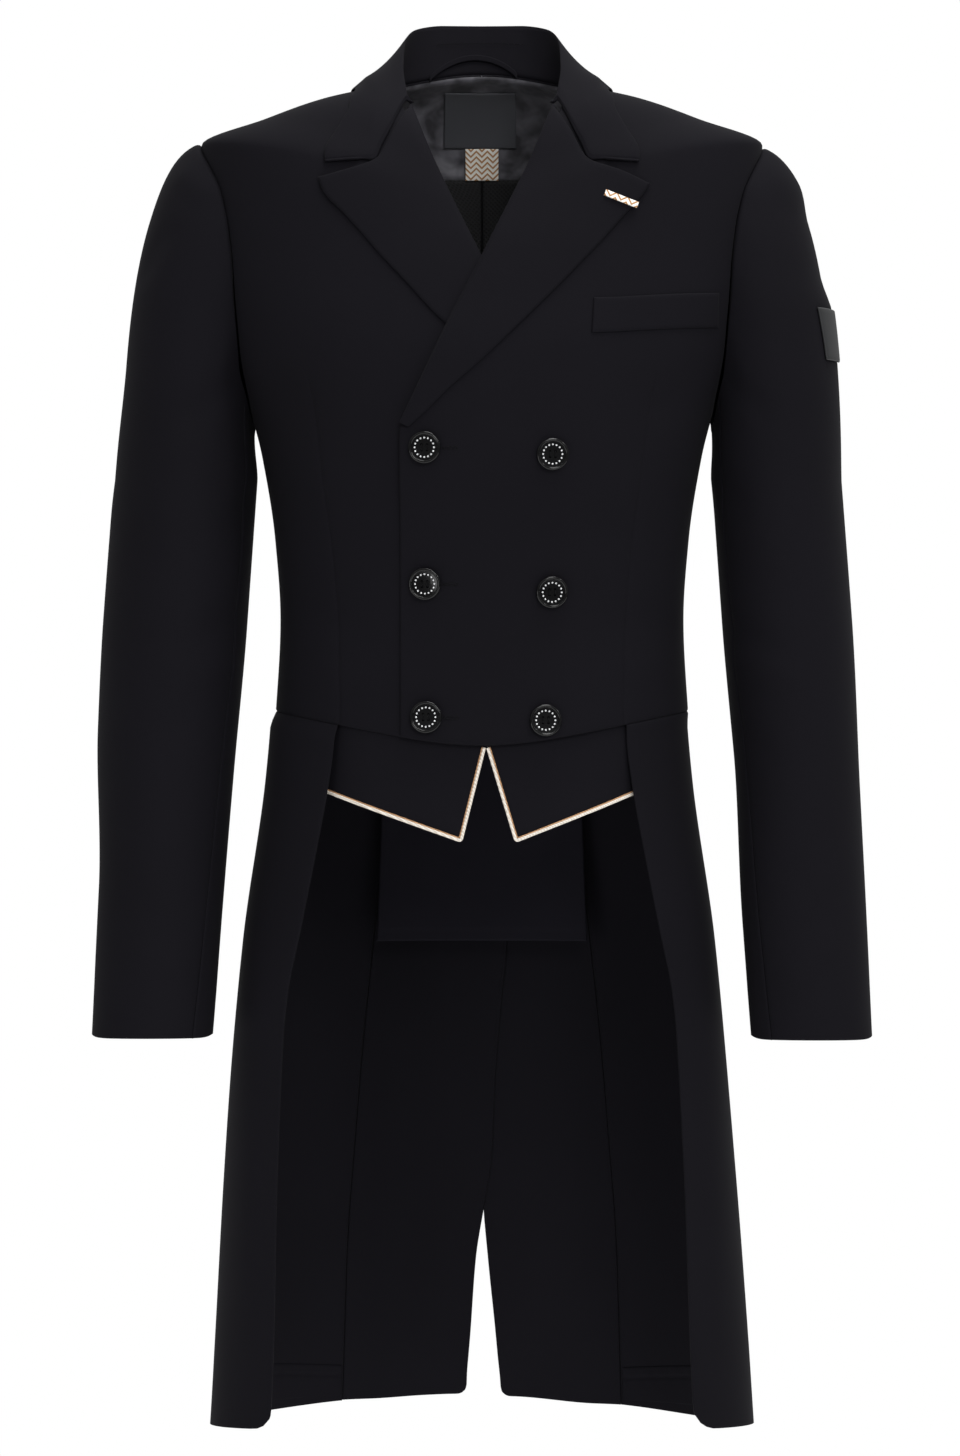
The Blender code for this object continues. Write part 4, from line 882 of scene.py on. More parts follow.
def front(name, over):
    rings, side = FRONT_RINGS, 1 if over else -1
    outer, inner = outer_front_angle(rings), front_inner_angle(rings, over)
    heights = on_body(DART_ANGLE, rings)[:, 2]
    dart_share = (angle_where(rings, DART_Z, DART_X, facing=-1) - outer) / (inner - outer)
    top = int(np.argmin(np.abs(heights - DART_Z[-1])))
    dart_share[top:] = dart_share[top]
    dart = outer + (inner - outer) * dart_share
    dart_dip = fade(heights, *DART_TOP_FADE)
    stops, seams = (outer, dart, inner), (1.0, dart_dip, FREE_EDGE)
    angles, dips = panel(stops, FRONT_COLUMNS, FRONT_WIDTHS, seams)
    dips = np.maximum(dips, dip_at(rings - WAIST)[:, None])
    flat = on_body(angles, rings[:, None])
    lift = over_lift(flat[..., 0], flat[..., 2]) * over + body_creases(flat, side)
    points = off_body(angles, rings[:, None], lift - dips)
    cloth(name, mirrored(points, side))


front("front_over", True)
front("front_under", False)
tell("over front", CUTS[0])

# %% [markdown]
# ## Backs, sides and tails
#
# Each half of the back is one long piece, from the neck seam to the hem of the tail. Beside it a
# side body closes the bodice under the arm, and below the waist seam a skirt runs round to the
# front. Below the waist the centre seam opens, and the wearer's right tail laps inside the left.


# %% Hems that are not level
def raised(points, rings, amount, reach):
    """Moves a hem up by amount, fading out over reach above it."""
    points[..., 2] += amount * np.clip(1 - (rings - HEM) / reach, 0, 1)


def back_hem_drop(x, side):
    """How far the back's hem hangs below its ring, from the vent out to the side-back seam."""
    return BACK_HEM_DROP[side] + BACK_HEM_TILT[side] * fade(x, *BACK_HEM_TILT_X)


def rounded(run, radius):
    """How far a corner of this radius rises, at distances along the hem from it."""
    near = np.clip(1 - run / radius, 0, 1)
    return CORNER_SHARE * radius * (1 - np.sqrt(1 - near**2))


# %% Backs
CORNER_REACH = 3.5  # a rounded corner's rise fades over this many radii above the hem
HEM_REACH = 0.05
BACK_COLUMNS, BACK_WIDTH, LAP_TOP = 36, 0.12, WAIST - 0.001


def vent_edge(heights, inner):
    """x of a tail's vent edge at each height, on the wearer's own side of the coat."""
    edge = through(VENT_Z, VENT_INNER_X if inner else VENT_OUTER_X, heights)
    return edge * (heights < VENT_TOP) * (-1 if inner else 1)


def back_stops(rings, inner_tail):
    heights = on_body(90.0, rings)[:, 2]
    middle = angle_where(rings, heights, vent_edge(heights, inner_tail), facing=1)
    return outer_back_angle(rings), middle


def back(name, side):
    rings, inner_tail = BACK_RINGS, side < 0
    stops, seams = back_stops(rings, inner_tail), (1.0, FREE_EDGE)
    angles, dips = panel(stops, [BACK_COLUMNS], [BACK_WIDTH], seams)
    flat = on_body(angles, rings[:, None])
    lift = body_creases(flat, side)
    if inner_tail:
        lift -= TAIL_LAP * fade(flat[..., 0], *TAIL_LAP_X) * (rings[:, None] < LAP_TOP)
    points = off_body(angles, rings[:, None], lift - dips)
    corner = rounded(flat[0, :, 0] - flat[0, -1, 0], VENT_CORNER)
    raised(points, rings[:, None], corner, CORNER_REACH * VENT_CORNER)
    raised(points, rings[:, None], -back_hem_drop(flat[0, :, 0], side), HEM_REACH)
    cloth(name, mirrored(points, side), TO_BACK)


# %% Side bodies and skirts
# below the waist seam a skirt stands off the form or falls in, and further down it lies on it again
SKIRT_SPRING, SPRING_TOP, SPRING_FOOT, SPRING_SHARES = {1: -0.0012, -1: 0.0034}, 0.012, 0.30, (1.0, 0.6)
SIDE_COLUMNS, SIDE_WIDTH, SIDE_CURVE = 18, 0.10, 4
SKIRT_COLUMNS, SKIRT_WIDTH = 52, 0.26


def side_body(name, side):
    steps = looped(SIDE_COLUMNS, SIDE_WIDTH)
    at_notch = BOTTOM_NOTCH + steps * (BACK_NOTCH - BOTTOM_NOTCH)
    top = np.interp(at_notch, range(len(ARMHOLE)), NOTCH_RINGS)
    arm = notch_angles(BOTTOM_NOTCH, LAST_NOTCH, top)
    climb = BODICE_SHARES[:, None]
    rings = WAIST + climb * (top - WAIST)
    seam = outer_back_angle(rings[:, -1])[:, None]
    straight = SIDE_SEAM_ANGLE * (1 - steps) + seam * steps
    angles = straight + (arm - straight[-1]) * climb**SIDE_CURVE
    dips = edge_dips(climb[:, 0], ARMPIT - WAIST, steps, SIDE_WIDTH)
    lift = body_creases(on_body(angles, rings), side) - dips
    cloth(name, mirrored(off_body(angles, rings, lift), side), (side, 0, 0))


def skirt(name, side):
    rings = TAIL_RINGS
    stops = angle_where(rings, TAIL_EDGE_Z, TAIL_EDGE_X, facing=-1), outer_back_angle(rings)
    angles, dips = panel(stops, [SKIRT_COLUMNS], [SKIRT_WIDTH], (FREE_EDGE, 1.0))
    dips = np.maximum(dips, dip_at(WAIST - rings)[:, None])
    spring = fade(rings, WAIST, WAIST - SPRING_TOP) * fade(rings, HEM, HEM + SPRING_FOOT)
    ahead = fade((angles - angles[:, :1]) / (angles[:, -1:] - angles[:, :1]), *SPRING_SHARES)
    flat = on_body(angles, rings[:, None])
    lift = body_creases(flat, side) - dips + SKIRT_SPRING[side] * spring[:, None] * ahead
    points = off_body(angles, rings[:, None], lift)
    run = np.linalg.norm(points[0] - points[0, 0], axis=-1)
    share = (angles[0] - angles[0, 0]) / (angles[0, -1] - angles[0, 0])
    raised(points, rings[:, None], rounded(run, TAIL_CORNER[side]), CORNER_REACH * TAIL_CORNER[side])
    raised(points, rings[:, None], through(SKIRT_HEM_SHARES, SKIRT_HEM_RISES[side], share), HEM_REACH)
    cloth(name, mirrored(points, side), (side, 0, 0))


for word, side in SIDES:
    back(f"back_{word}", side)
    side_body(f"side_{word}", side)
    skirt(f"skirt_{word}", side)
tell("left back", CUTS[2])

# %% [markdown]
# ## Sleeves
#
# A coat sleeve has two pieces, so that it can bend forward like a hanging arm. Its cap is set into
# the armhole notch by notch with a little ease, which gives the round sleeve head. The columns run
# on from the armhole's own notches, so the armhole seam closes.

# %% Sleeve tables
Tube = namedtuple("Tube", "z middle_x middle_y half_x half_y twist")
SLEEVE = (
    Tube(-0.300, 0.2220, 0.0040, 0.0513, 0.0690, 0.0),
    Tube(-0.407, 0.2295, -0.0020, 0.0515, 0.0650, 0.0),
    Tube(-0.528, 0.2373, -0.0110, 0.0488, 0.0590, -5.0),
    Tube(-0.650, 0.2443, -0.0290, 0.0467, 0.0510, -11.0),
    Tube(-0.724, 0.2478, -0.0420, 0.0455, 0.0465, -16.0),
)
TUBE_TABLE = np.array(SLEEVE)[::-1]
CAP_TOP_PULL, CAP_FOOT_PULL, CAP_TOP_DROP, CAP_FOOT_DROP = 0.045, 0.010, 0.130, 0.012
CAP_TOP_WAY, CAP_FOOT_WAY, CAP_FULLNESS = np.array((1.0, 0, -0.35)), np.array((0.25, 0, -1.0)), 0.30
DEGREE = 0.001  # one degree round a sleeve is about a millimetre of cloth
SLEEVE_CREASES = {
    1: (
        Crease(0.180, -0.200, 0.180, -0.640, 0.050, -0.0042),  # closer on its inner side
        Crease(0.000, -0.075, 0.000, -0.175, 0.045, -0.0048),  # flatter at the head
        Crease(0.360, -0.075, 0.360, -0.175, 0.045, -0.0048),
        Crease(0.150, -0.215, 0.085, -0.262, 0.011, -0.0016),
        Crease(0.178, -0.280, 0.110, -0.335, 0.012, -0.0012),
        Crease(0.185, -0.405, 0.090, -0.430, 0.010, -0.0014),
        Crease(0.180, -0.440, 0.070, -0.452, 0.010, 0.0010),
        Crease(0.170, -0.480, 0.100, -0.520, 0.012, -0.0010),
        Crease(0.250, -0.300, 0.290, -0.430, 0.014, 0.0012),
        Crease(0.230, -0.420, 0.300, -0.470, 0.012, -0.0012),
        Crease(0.060, -0.640, 0.140, -0.690, 0.012, 0.0009),
        Crease(0.215, -0.600, 0.300, -0.660, 0.013, -0.0010),
    ),
    -1: (
        Crease(0.000, -0.210, 0.000, -0.610, 0.060, 0.0066),  # fuller on its outer side
        Crease(0.360, -0.210, 0.360, -0.610, 0.060, 0.0066),
        Crease(0.160, -0.205, 0.075, -0.270, 0.013, -0.0018),
        Crease(0.175, -0.300, 0.120, -0.350, 0.012, -0.0012),
        Crease(0.185, -0.395, 0.095, -0.425, 0.011, -0.0013),
        Crease(0.175, -0.445, 0.080, -0.450, 0.010, 0.0010),
        Crease(0.035, -0.105, 0.020, -0.160, 0.010, -0.0014),
        Crease(0.012, -0.066, 0.050, -0.096, 0.005, 0.0010),
        Crease(0.255, -0.310, 0.285, -0.440, 0.014, 0.0012),
        Crease(0.235, -0.430, 0.300, -0.460, 0.012, -0.0012),
        Crease(0.070, -0.650, 0.150, -0.680, 0.012, 0.0009),
        Crease(0.220, -0.590, 0.290, -0.650, 0.013, -0.0010),
    ),
}


# %% The sleeve's form
def armhole_at(notch):
    """Point of the armhole on the wearer's left, at a place counted in notches."""
    ring = np.interp(notch, range(len(ARMHOLE)), NOTCH_RINGS)
    first, second = notch_angles(0, BOTTOM_NOTCH, ring), notch_angles(BOTTOM_NOTCH, LAST_NOTCH, ring)
    return on_body(np.where(notch <= BOTTOM_NOTCH, first, second), ring)


dense = np.linspace(0, LAST_NOTCH, 361)
walked = walk(armhole_at(dense))
to_bottom = np.interp(BOTTOM_NOTCH, dense, walked)
turns = np.interp(walked, (0.0, to_bottom, walked[-1]), (0.0, 1.0, 2.0))


def cap_turn(notch):
    """Degrees round the sleeve at a notch: 0 outside, 90 in front, 180 at the armpit."""
    return 180 * np.interp(notch, dense, turns)


def tube_point(turn, z):
    """Point of the sleeve below its cap."""
    mx, my, hx, hy, twist = (through(TUBE_TABLE[:, 0], column, z) for column in TUBE_TABLE.T[1:])
    around = np.radians(turn + twist)
    return np.stack([mx + hx * np.cos(around), my - hy * np.sin(around), z + 0 * around], -1)


def sleeve_grid(notch, cap_steps, z_below):
    """Rows of the sleeve from the armhole to the cuff, at these notches."""
    turn = cap_turn(notch)
    seam, first = armhole_at(notch), tube_point(turn, SLEEVE[0].z + 0 * turn)
    foot, swing = (1 - np.cos(np.radians(turn)))[:, None] / 2, np.sin(np.radians(turn))[:, None]
    pull = CAP_TOP_WAY * (1 - foot) + CAP_FOOT_WAY * foot
    pull = unit(pull + np.array([0, -CAP_FULLNESS, 0]) * swing)
    seam = seam + pull * 2 * GAP
    reach = CAP_TOP_PULL + (CAP_FOOT_PULL - CAP_TOP_PULL) * foot
    drop = CAP_TOP_DROP + (CAP_FOOT_DROP - CAP_TOP_DROP) * foot
    leave, arrive = seam + pull * reach, first + np.array([0, 0, 1.0]) * drop
    rows = []
    for t in cap_steps:
        near, far = seam * (1 - t) + 3 * leave * t, 3 * arrive * (1 - t) + first * t
        rows.append(near * (1 - t) ** 2 + far * t**2)
    rows += [tube_point(turn, z + 0 * turn) for z in z_below]
    return np.stack(rows)


# %% Sew the sleeves
HEAD_ROLL, HEAD_ROLL_RISE, HEAD_ROLL_END = {1: 0.0004, -1: 0.0036}, (-0.03, 0.004), (0.02, 0.40)
CUFF_RISE, CUFF_REACH = {1: 0.0012, -1: 0.0024}, 0.040  # the cuff's hem over the form's end
CUFF_FRONT_RISE, CUFF_CORNER_RISE, CUFF_CORNER_POWER = 0.0016, 0.0028, 14
SEAM_ALLOWANCE, ALLOWANCE_DEPTH = -0.03, 0.0026  # the cap runs on under the body's edge
CAP_FIRST_STEPS, CAP_NEXT_STEP, CAP_ROWS = (SEAM_ALLOWANCE, 0.0, 0.009, 0.020), 0.035, 40
SLEEVE_ROWS, NOTCH_WIDTH = 84, 0.022
cap_steps = np.concatenate([CAP_FIRST_STEPS, np.linspace(CAP_NEXT_STEP, 1.0, CAP_ROWS)[:-1]])
cap_dips = np.concatenate([[ALLOWANCE_DEPTH], DIP, np.zeros(len(cap_steps) - len(DIP) - 1)])
tube_length = SLEEVE[0].z - SLEEVE[-1].z
below = SLEEVE[0].z - looped(SLEEVE_ROWS, tube_length)[2:] * tube_length


def sleeve_piece(name, side, first_notch, last_notch, outward):
    count = int((last_notch - first_notch) * NOTCH_STEPS)
    width = (last_notch - first_notch) * NOTCH_WIDTH
    share = looped(count, width)
    notch = first_notch + share * (last_notch - first_notch)
    wrapped = np.where(notch > LAST_NOTCH, notch - LAST_NOTCH, notch)
    points = sleeve_grid(wrapped, cap_steps, below)
    normals = outward_normals(points, outward)
    degrees, heights = cap_turn(wrapped) * DEGREE, points[..., 2]
    creases = creased(degrees[None, :] + 0 * heights, heights, SLEEVE_CREASES[side])
    rows = np.concatenate([cap_dips, 0 * below])
    seams = np.maximum(dip_at(share * width), dip_at((1 - share) * width))
    dips = np.maximum(rows[:, None], seams[None, :])
    along_cap = np.concatenate([cap_steps, 1 + 0 * below])
    roll = HEAD_ROLL[side] * fade(along_cap, *HEAD_ROLL_RISE) * fade(along_cap, *HEAD_ROLL_END[::-1])
    near_top = np.cos(np.radians(cap_turn(wrapped)) / 2) ** 4
    points = points + normals * (creases - dips + roll[:, None] * near_top)[..., None]
    round_cuff = np.radians(cap_turn(wrapped) + SLEEVE[-1].twist)
    rise = CUFF_RISE[side] + CUFF_FRONT_RISE * np.clip(np.sin(round_cuff), 0, 1)
    rise += CUFF_CORNER_RISE * np.abs(np.cos(round_cuff)) ** CUFF_CORNER_POWER
    to_cuff = np.concatenate([0 * cap_steps, np.clip(1 - (below - SLEEVE[-1].z) / CUFF_REACH, 0, 1)])
    points[..., 2] += rise[None, :] * to_cuff[:, None]
    cloth(name, mirrored(points, side), (outward[0] * side, 0, 0))


for word, side in SIDES:
    sleeve_piece(f"topsleeve_{word}", side, BACK_SEAM_NOTCH, LAST_NOTCH + FRONT_SEAM_NOTCH, (1, 0, 0))
    sleeve_piece(f"undersleeve_{word}", side, FRONT_SEAM_NOTCH, BACK_SEAM_NOTCH, (-1, 0, 0))
print("sleeve length, mm:", round(1000 * CUTS[-1].size[1]))

# %% [markdown]
# ## Lapels
#
# A lapel is the front's own facing, rolled out over the chest. It springs up at the roll line in a
# small round fold and lies down as a leaf. The peak points up past the collar: the leaf's top edge
# follows the gorge seam to the notch, then runs free.

# %% Lapel outlines
GORGE = ((0.0525, -0.0215), (0.0660, -0.0440), (0.0795, -0.0670), (0.1030, -0.0750), (0.1260, -0.0840))
NOTCH_SHARE = 0.42  # how far along the lapel's top edge the notch is
OVER_LAPEL_EDGE = (
    (0.1245, -0.0850), (0.1181, -0.0945), (0.1046, -0.1098), (0.0904, -0.1267), (0.0628, -0.1565),
    (0.0295, -0.1902), (-0.0052, -0.2227), (-0.0229, -0.2382), (-0.0399, -0.2552), (-0.0530, -0.2675),
)
UNDER_LAPEL_EDGE = (
    (0.1220, -0.0800), (0.1167, -0.0922), (0.1039, -0.1061), (0.0889, -0.1229), (0.0748, -0.1397),
    (0.0599, -0.1557), (0.0310, -0.1872), (-0.0230, -0.2330), (-0.0440, -0.2530), (-0.0540, -0.2670),
)
LAPEL_REST, LAPEL_PUFF, LAPEL_NECK_LIFT = 0.0004, 0.0006, 0.0012


def along(outline, share):
    """Point at a share of an outline's length, on a smooth curve through its points."""
    outline = np.asarray(outline, float)
    run = walk(outline)
    return np.stack([through(run / run[-1], column, share) for column in outline.T], axis=-1)


# %% Sew the lapels
LAPEL_ROWS, LAPEL_COLUMNS, LAPEL_LENGTH, LAPEL_WIDTH = 72, 32, 0.27, 0.07
FOLD_TURNS = np.radians(np.linspace(-90, 72, 10))  # round the fold, from the flange to the leaf


def lapel(name, over):
    """Flange under the fold, the round fold at the roll line, then the leaf."""
    share = looped(LAPEL_ROWS, LAPEL_LENGTH)
    across = np.concatenate([np.linspace(0, 1, LAPEL_COLUMNS)[:-1], 1 - LOOPS[::-1] / LAPEL_WIDTH])
    across = np.sort(across)
    down = share[:, None]
    roll = along(ROLL_LINE[::-1], share)
    outer = along(OVER_LAPEL_EDGE if over else UNDER_LAPEL_EDGE, share)
    gorge = (*GORGE[:-1], tuple(outer[0]))
    top = along(gorge, np.interp(across, (0.0, 0.5, 1.0), (0.0, NOTCH_SHARE, 1.0)))
    leaf = roll[:, None] + (outer - roll)[:, None] * across[None, :, None]
    straight = roll[0] + (outer[0] - roll[0]) * across[:, None]
    leaf += (1 - down[..., None]) ** 3 * (top - straight)
    puff = (LAPEL_REST + LAPEL_NECK_LIFT * eased(1 - 4 * down)) * eased(across * 8)
    puff = puff + LAPEL_PUFF * np.sin(np.pi * across**0.6) * eased(3 - 3 * down)
    leaf_lift = over_lift(*parted(leaf)) * over + PLY + puff
    tangent = np.gradient(roll, axis=0)
    inward = unit(np.stack([-tangent[:, 1], tangent[:, 0]], -1))
    base = over_lift(*parted(roll)) * over
    leaf[:, 0] += inward * ROLL_RADIUS
    steps = [(ROLL_RADIUS + FLANGE, -math.pi / 2)]
    steps += [(ROLL_RADIUS * (1 - math.cos(turn)), turn) for turn in FOLD_TURNS]
    fold = np.stack([roll + inward * back for back, _ in steps], 1)
    fold_lift = np.stack([base + GAP / 2 + ROLL_RADIUS * math.sin(turn) for _, turn in steps], 1)
    flat, lift = np.concatenate([fold, leaf], axis=1), np.concatenate([fold_lift, leaf_lift], axis=1)
    points = show_at(*parted(flat), lift)
    from_edge = np.linalg.norm(points - points[:, -1:], axis=-1)
    dips = np.maximum(dip_at(share * LAPEL_LENGTH)[:, None], dip_at(from_edge))
    dips[:, : len(steps)] = 0.0
    side = 1 if over else -1
    cloth(name, mirrored(points, side), held="folded", dips=dips)


lapel("lapel_over", True)
lapel("lapel_under", False)
tell("over lapel", CUTS[-2])

# %% [markdown]
# ## Collar
#
# The collar stands up from the neck seam, folds over and falls on the shoulders. It is given by a
# few stations from the centre back to the gorge: the neck seam, the fold, the middle of the fall
# and its edge. It is worked out for one half and mirrored.

# %% Collar stations
Station = namedtuple("Station", "neck_angle fold mid edge")
COLLAR_NOTCH, COLLAR_TIP = (0.0815, -0.0655), (0.1165, -0.0670)
COLLAR = (
    Station(90.0, (0.0000, 0.0740, 0.0530), (90.0, -0.0030, 0.0100), (90.0, -0.0125, 0.0030)),
    Station(64.0, (0.0290, 0.0700, 0.0527), (64.0, -0.0028, 0.0100), (66.0, -0.0118, 0.0030)),
    Station(38.0, (0.0520, 0.0480, 0.0458), (39.0, -0.0026, 0.0140), (42.0, -0.0092, 0.0026)),
    Station(13.0, (0.0590, 0.0170, 0.0310), (14.0, -0.0030, 0.0120), (17.0, -0.0072, 0.0022)),
    Station(-10.0, (0.0595, -0.0120, 0.0120), (-9.0, -0.0035, 0.0080), (-8.0, -0.0058, 0.0020)),
    Station(-28.0, (0.0575, -0.0330, -0.0045), (-30.0, -0.0060, 0.0045), (-27.5, -0.0140, 0.0028)),
    Station(-40.0, (0.0560, -0.0440, -0.0140), COLLAR_NOTCH, COLLAR_TIP),
)
COLLAR_END_LIFT, CROWN_REACH, CROWN_RISE, NECK_TUCK = 0.0030, 0.10, 0.0010, 0.0030
NECK_TUCK_SHARES = (0.45, 0.60)  # the stand's edge tucks under the lining only at the back
KNOTS = shares(len(COLLAR))


def mirror_half(half):
    """A line from gorge to middle and on to the other gorge, from its half."""
    return np.concatenate([mirrored(half[:0:-1], -1), half])


def collar_stand(at):
    """Neck seam, fold and neck angle of the collar, at shares from the centre back to the gorge."""
    angle = through(KNOTS, [station.neck_angle for station in COLLAR], at)
    fold = [through(KNOTS, values, at) for values in zip(*(station.fold for station in COLLAR))]
    return on_body(angle, NECK), np.stack(fold, -1), angle


# %% Sew the collar
COLLAR_HALF, COLLAR_LENGTH, STEPS_BETWEEN_ROWS, GORGE_TUCK = 58, 0.22, 4, 0.0025
TO_MID, TO_EDGE, ROW_STEP = (0.35, 0.7, 1.0), (0.34, 0.67, 1.0), 0.008  # shares, and metres


def collar(name):
    at = looped(COLLAR_HALF, COLLAR_LENGTH)[2:]
    at[0] = 0.0
    seam, fold, neck_angle = collar_stand(at)

    def on_form(places):
        gorge = (*(float(value) for value in find_on_body(*places[-1], -1)), COLLAR_END_LIFT)
        return np.array([through(KNOTS, values, at) for values in zip(*places[:-1], gorge)])

    neck = np.array([neck_angle, 0 * at + NECK, 0 * at])
    at_gorge = eased((at - KNOTS[-2]) / (1 - KNOTS[-2]))
    mid, edge = on_form([s.mid for s in COLLAR]), on_form([s.edge for s in COLLAR])
    notch = np.array([COLLAR_NOTCH[0], 0, COLLAR_NOTCH[1]])

    def towards_notch(share):
        """From the neck seam to mid over the form, and straight along the gorge at its end."""
        place = neck + (mid - neck) * share
        x, _, z = seam[-1] + (notch - seam[-1]) * share
        place[:2] += (np.array(find_on_body(x, z, -1)) - place[:2, -1])[:, None] * at_gorge
        return place

    foot = seam + (0, 0, 3 * GAP)
    tuck = off_body(neck_angle, NECK - NECK_TUCK * (1 - fade(at, *NECK_TUCK_SHARES)), 0 * at)
    crown = fold + (off_body(*mid) - foot) * CROWN_REACH
    rows = [tuck] + [foot + (fold - foot) * share for share in shares(4)]
    rows.append((fold + crown) / 2 + (0, 0, CROWN_RISE))
    rows += [off_body(*towards_notch(share)) + (crown - seam) * (1 - share) for share in TO_MID]
    rows += [off_body(*(mid + (edge - mid) * share)) for share in TO_EDGE]
    half = np.stack(rows)
    sewn_rows = len(rows) - len(TO_EDGE)  # the gorge seam ends where the notch begins
    onwards = unit(half[:sewn_rows, -1] - half[:sewn_rows, -3])
    half = np.concatenate([half, half[:, -1:]], axis=1)
    half[:sewn_rows, -1] += onwards * GORGE_TUCK
    at = np.append(at, 1.0)
    fine = between(range(len(half)), STEPS_BETWEEN_ROWS)
    fine = np.unique(np.concatenate([fine[:-1], len(half) - 1 - LOOPS[1::-1] / ROW_STEP]))
    columns = [through(range(len(half)), column, fine) for column in half.reshape(len(half), -1).T]
    half = np.stack(columns, 1).reshape(len(fine), -1, 3)
    points = np.stack([mirror_half(row) for row in half])
    at_edge, at_end = dip_at((fine[-1] - fine) * ROW_STEP), dip_at((1 - at) * COLLAR_LENGTH)
    dips = np.maximum(at_edge[:, None], np.concatenate([at_end[:0:-1], at_end])[None, :])
    cloth(name, points, (0, 1, 1), held="folded", dips=dips)


collar("collar")
tell("collar", CUTS[-1])

# %% [markdown]
# ## Pocket welt and ribbon
#
# The breast pocket is a welt: a folded strip sewn over the pocket's mouth, with all four edges
# turned in. A short bar of tape is sewn to the lapel beside its peak.

# %% Patches on the front
WELT = ((0.0802, -0.1979), (0.1760, -0.1896), (0.1765, -0.1637), (0.0819, -0.1717))
RIBBON_START, RIBBON_END, RIBBON_WIDTH = (0.0907, -0.0932), (0.1146, -0.1020), 0.0046
WELT_ROWS, WELT_DEPTH, WELT_COLUMNS, WELT_WIDTH = 14, 0.026, 34, 0.095
RIBBON_ROWS, RIBBON_COLUMNS = 7, 24


def between_corners(corners, rows, columns):
    """A grid between four corners, which run round from the lower left, as (x, z)."""
    low_left, low_right, high_right, high_left = (np.array(corner) for corner in corners)
    v, u = rows[:, None, None], columns[None, :, None]
    low, high = low_left * (1 - u) + low_right * u, high_left * (1 - u) + high_right * u
    return low * (1 - v) + high * v


def on_front(flat, above=0.0):
    """Points that show at flat, which holds (x, z), on the wearer's left front with its creases."""
    x, z = parted(flat)
    return show_at(x, z, over_lift(x, z) + creased(x, z, FRONT_CREASES) + above)


rows, columns = looped(WELT_ROWS, WELT_DEPTH), looped(WELT_COLUMNS, WELT_WIDTH)
points = on_front(between_corners(WELT, rows, columns), PLY)
dips = edge_dips(rows, WELT_DEPTH, columns, WELT_WIDTH)
cloth("pocket_welt", points, held="laid", dips=dips)

start, end = np.array(RIBBON_START), np.array(RIBBON_END)
run = unit(end - start)
sideways = np.array([-run[1], run[0]]) * RIBBON_WIDTH / 2
corners = (start - sideways, end - sideways, end + sideways, start + sideways)
flat = between_corners(corners, shares(RIBBON_ROWS), shares(RIBBON_COLUMNS))
on_leaf = PLY + LAPEL_REST + LAPEL_PUFF + LAPEL_NECK_LIFT + LINING_CLOTH
points = show_at(*parted(flat), over_lift(*parted(flat)) + on_leaf)
cloth("lapel_ribbon", points, TO_FRONT, TAPE, LINING_CLOTH, carrier="lapel_over")

# %% [markdown]
# ## Waistcoat points and their piping
#
# Below the front hem show two false waistcoat points. Each is edged with a cream cord, with a thin
# tan cord between it and the cloth. Seen from the front, the cords run down beside the middle,
# round the tip and out to the tail.

# %% Waistcoat points
VEST_TOP, VEST_APEX_X, VEST_APEX_Z = -0.490, 0.0030, -0.5030
VEST_TOP_LIFT, VEST_FOOT_LIFT, VEST_UNDER_SKIRT_X = -PLY - GAP, -0.0048, (0.085, 0.115)
VEST_TIP_X, VEST_TIP_Z, VEST_SIDE_X, VEST_SIDE_Z = (-0.0170, 0.0266), -0.5700, 0.1230, -0.5330
VEST_SIDE_RISE, PIPING_RADIUS, PIPING_BEND, PIPING_END = 0.006, 0.0013, 0.0022, 0.0030
CREAM_RADIUS, TAN_RADIUS = 0.0012, 0.0006
VEST_ROWS, VEST_DEPTH, VEST_COLUMNS, VEST_WIDTH = 26, 0.07, 44, 0.11


def vest_outline(side):
    """Corners of a waistcoat point as (x, z): apex, tip and side."""
    tip = VEST_TIP_X[0] if side < 0 else VEST_TIP_X[1]
    apex = VEST_APEX_X + side * (2 * PIPING_RADIUS + 1.5 * GAP)
    return np.array([(apex, VEST_APEX_Z), (tip, VEST_TIP_Z), (side * VEST_SIDE_X, VEST_SIDE_Z)])


def vest_lift(x, z):
    """The points are sewn in at the waist seam and lie deeper at their foot and under the skirts."""
    hung = np.interp(z, (VEST_SIDE_Z, VEST_APEX_Z), (VEST_FOOT_LIFT, VEST_TOP_LIFT))
    return hung - PLY * fade(abs(x), *VEST_UNDER_SKIRT_X)


def vest_point(name, side):
    apex, tip, corner = vest_outline(side)
    rows, columns = looped(VEST_ROWS, VEST_DEPTH), looped(VEST_COLUMNS, VEST_WIDTH)
    top = (corner[0], VEST_TOP + VEST_SIDE_RISE), (apex[0], VEST_TOP)
    flat = between_corners((tip, corner, *top), rows, columns)
    edge = np.interp(flat[:, 0, 1], (tip[1], apex[1], VEST_TOP), (tip[0], apex[0], apex[0]))
    flat[..., 0] += (edge - flat[:, 0, 0])[:, None] * (1 - columns)
    points = show_at(*parted(flat), vest_lift(*parted(flat)))
    dips = edge_dips(rows, VEST_DEPTH, columns, VEST_WIDTH, (1.0, 0.0, 1.0, 0.0))
    cloth(name, points, dips=dips)


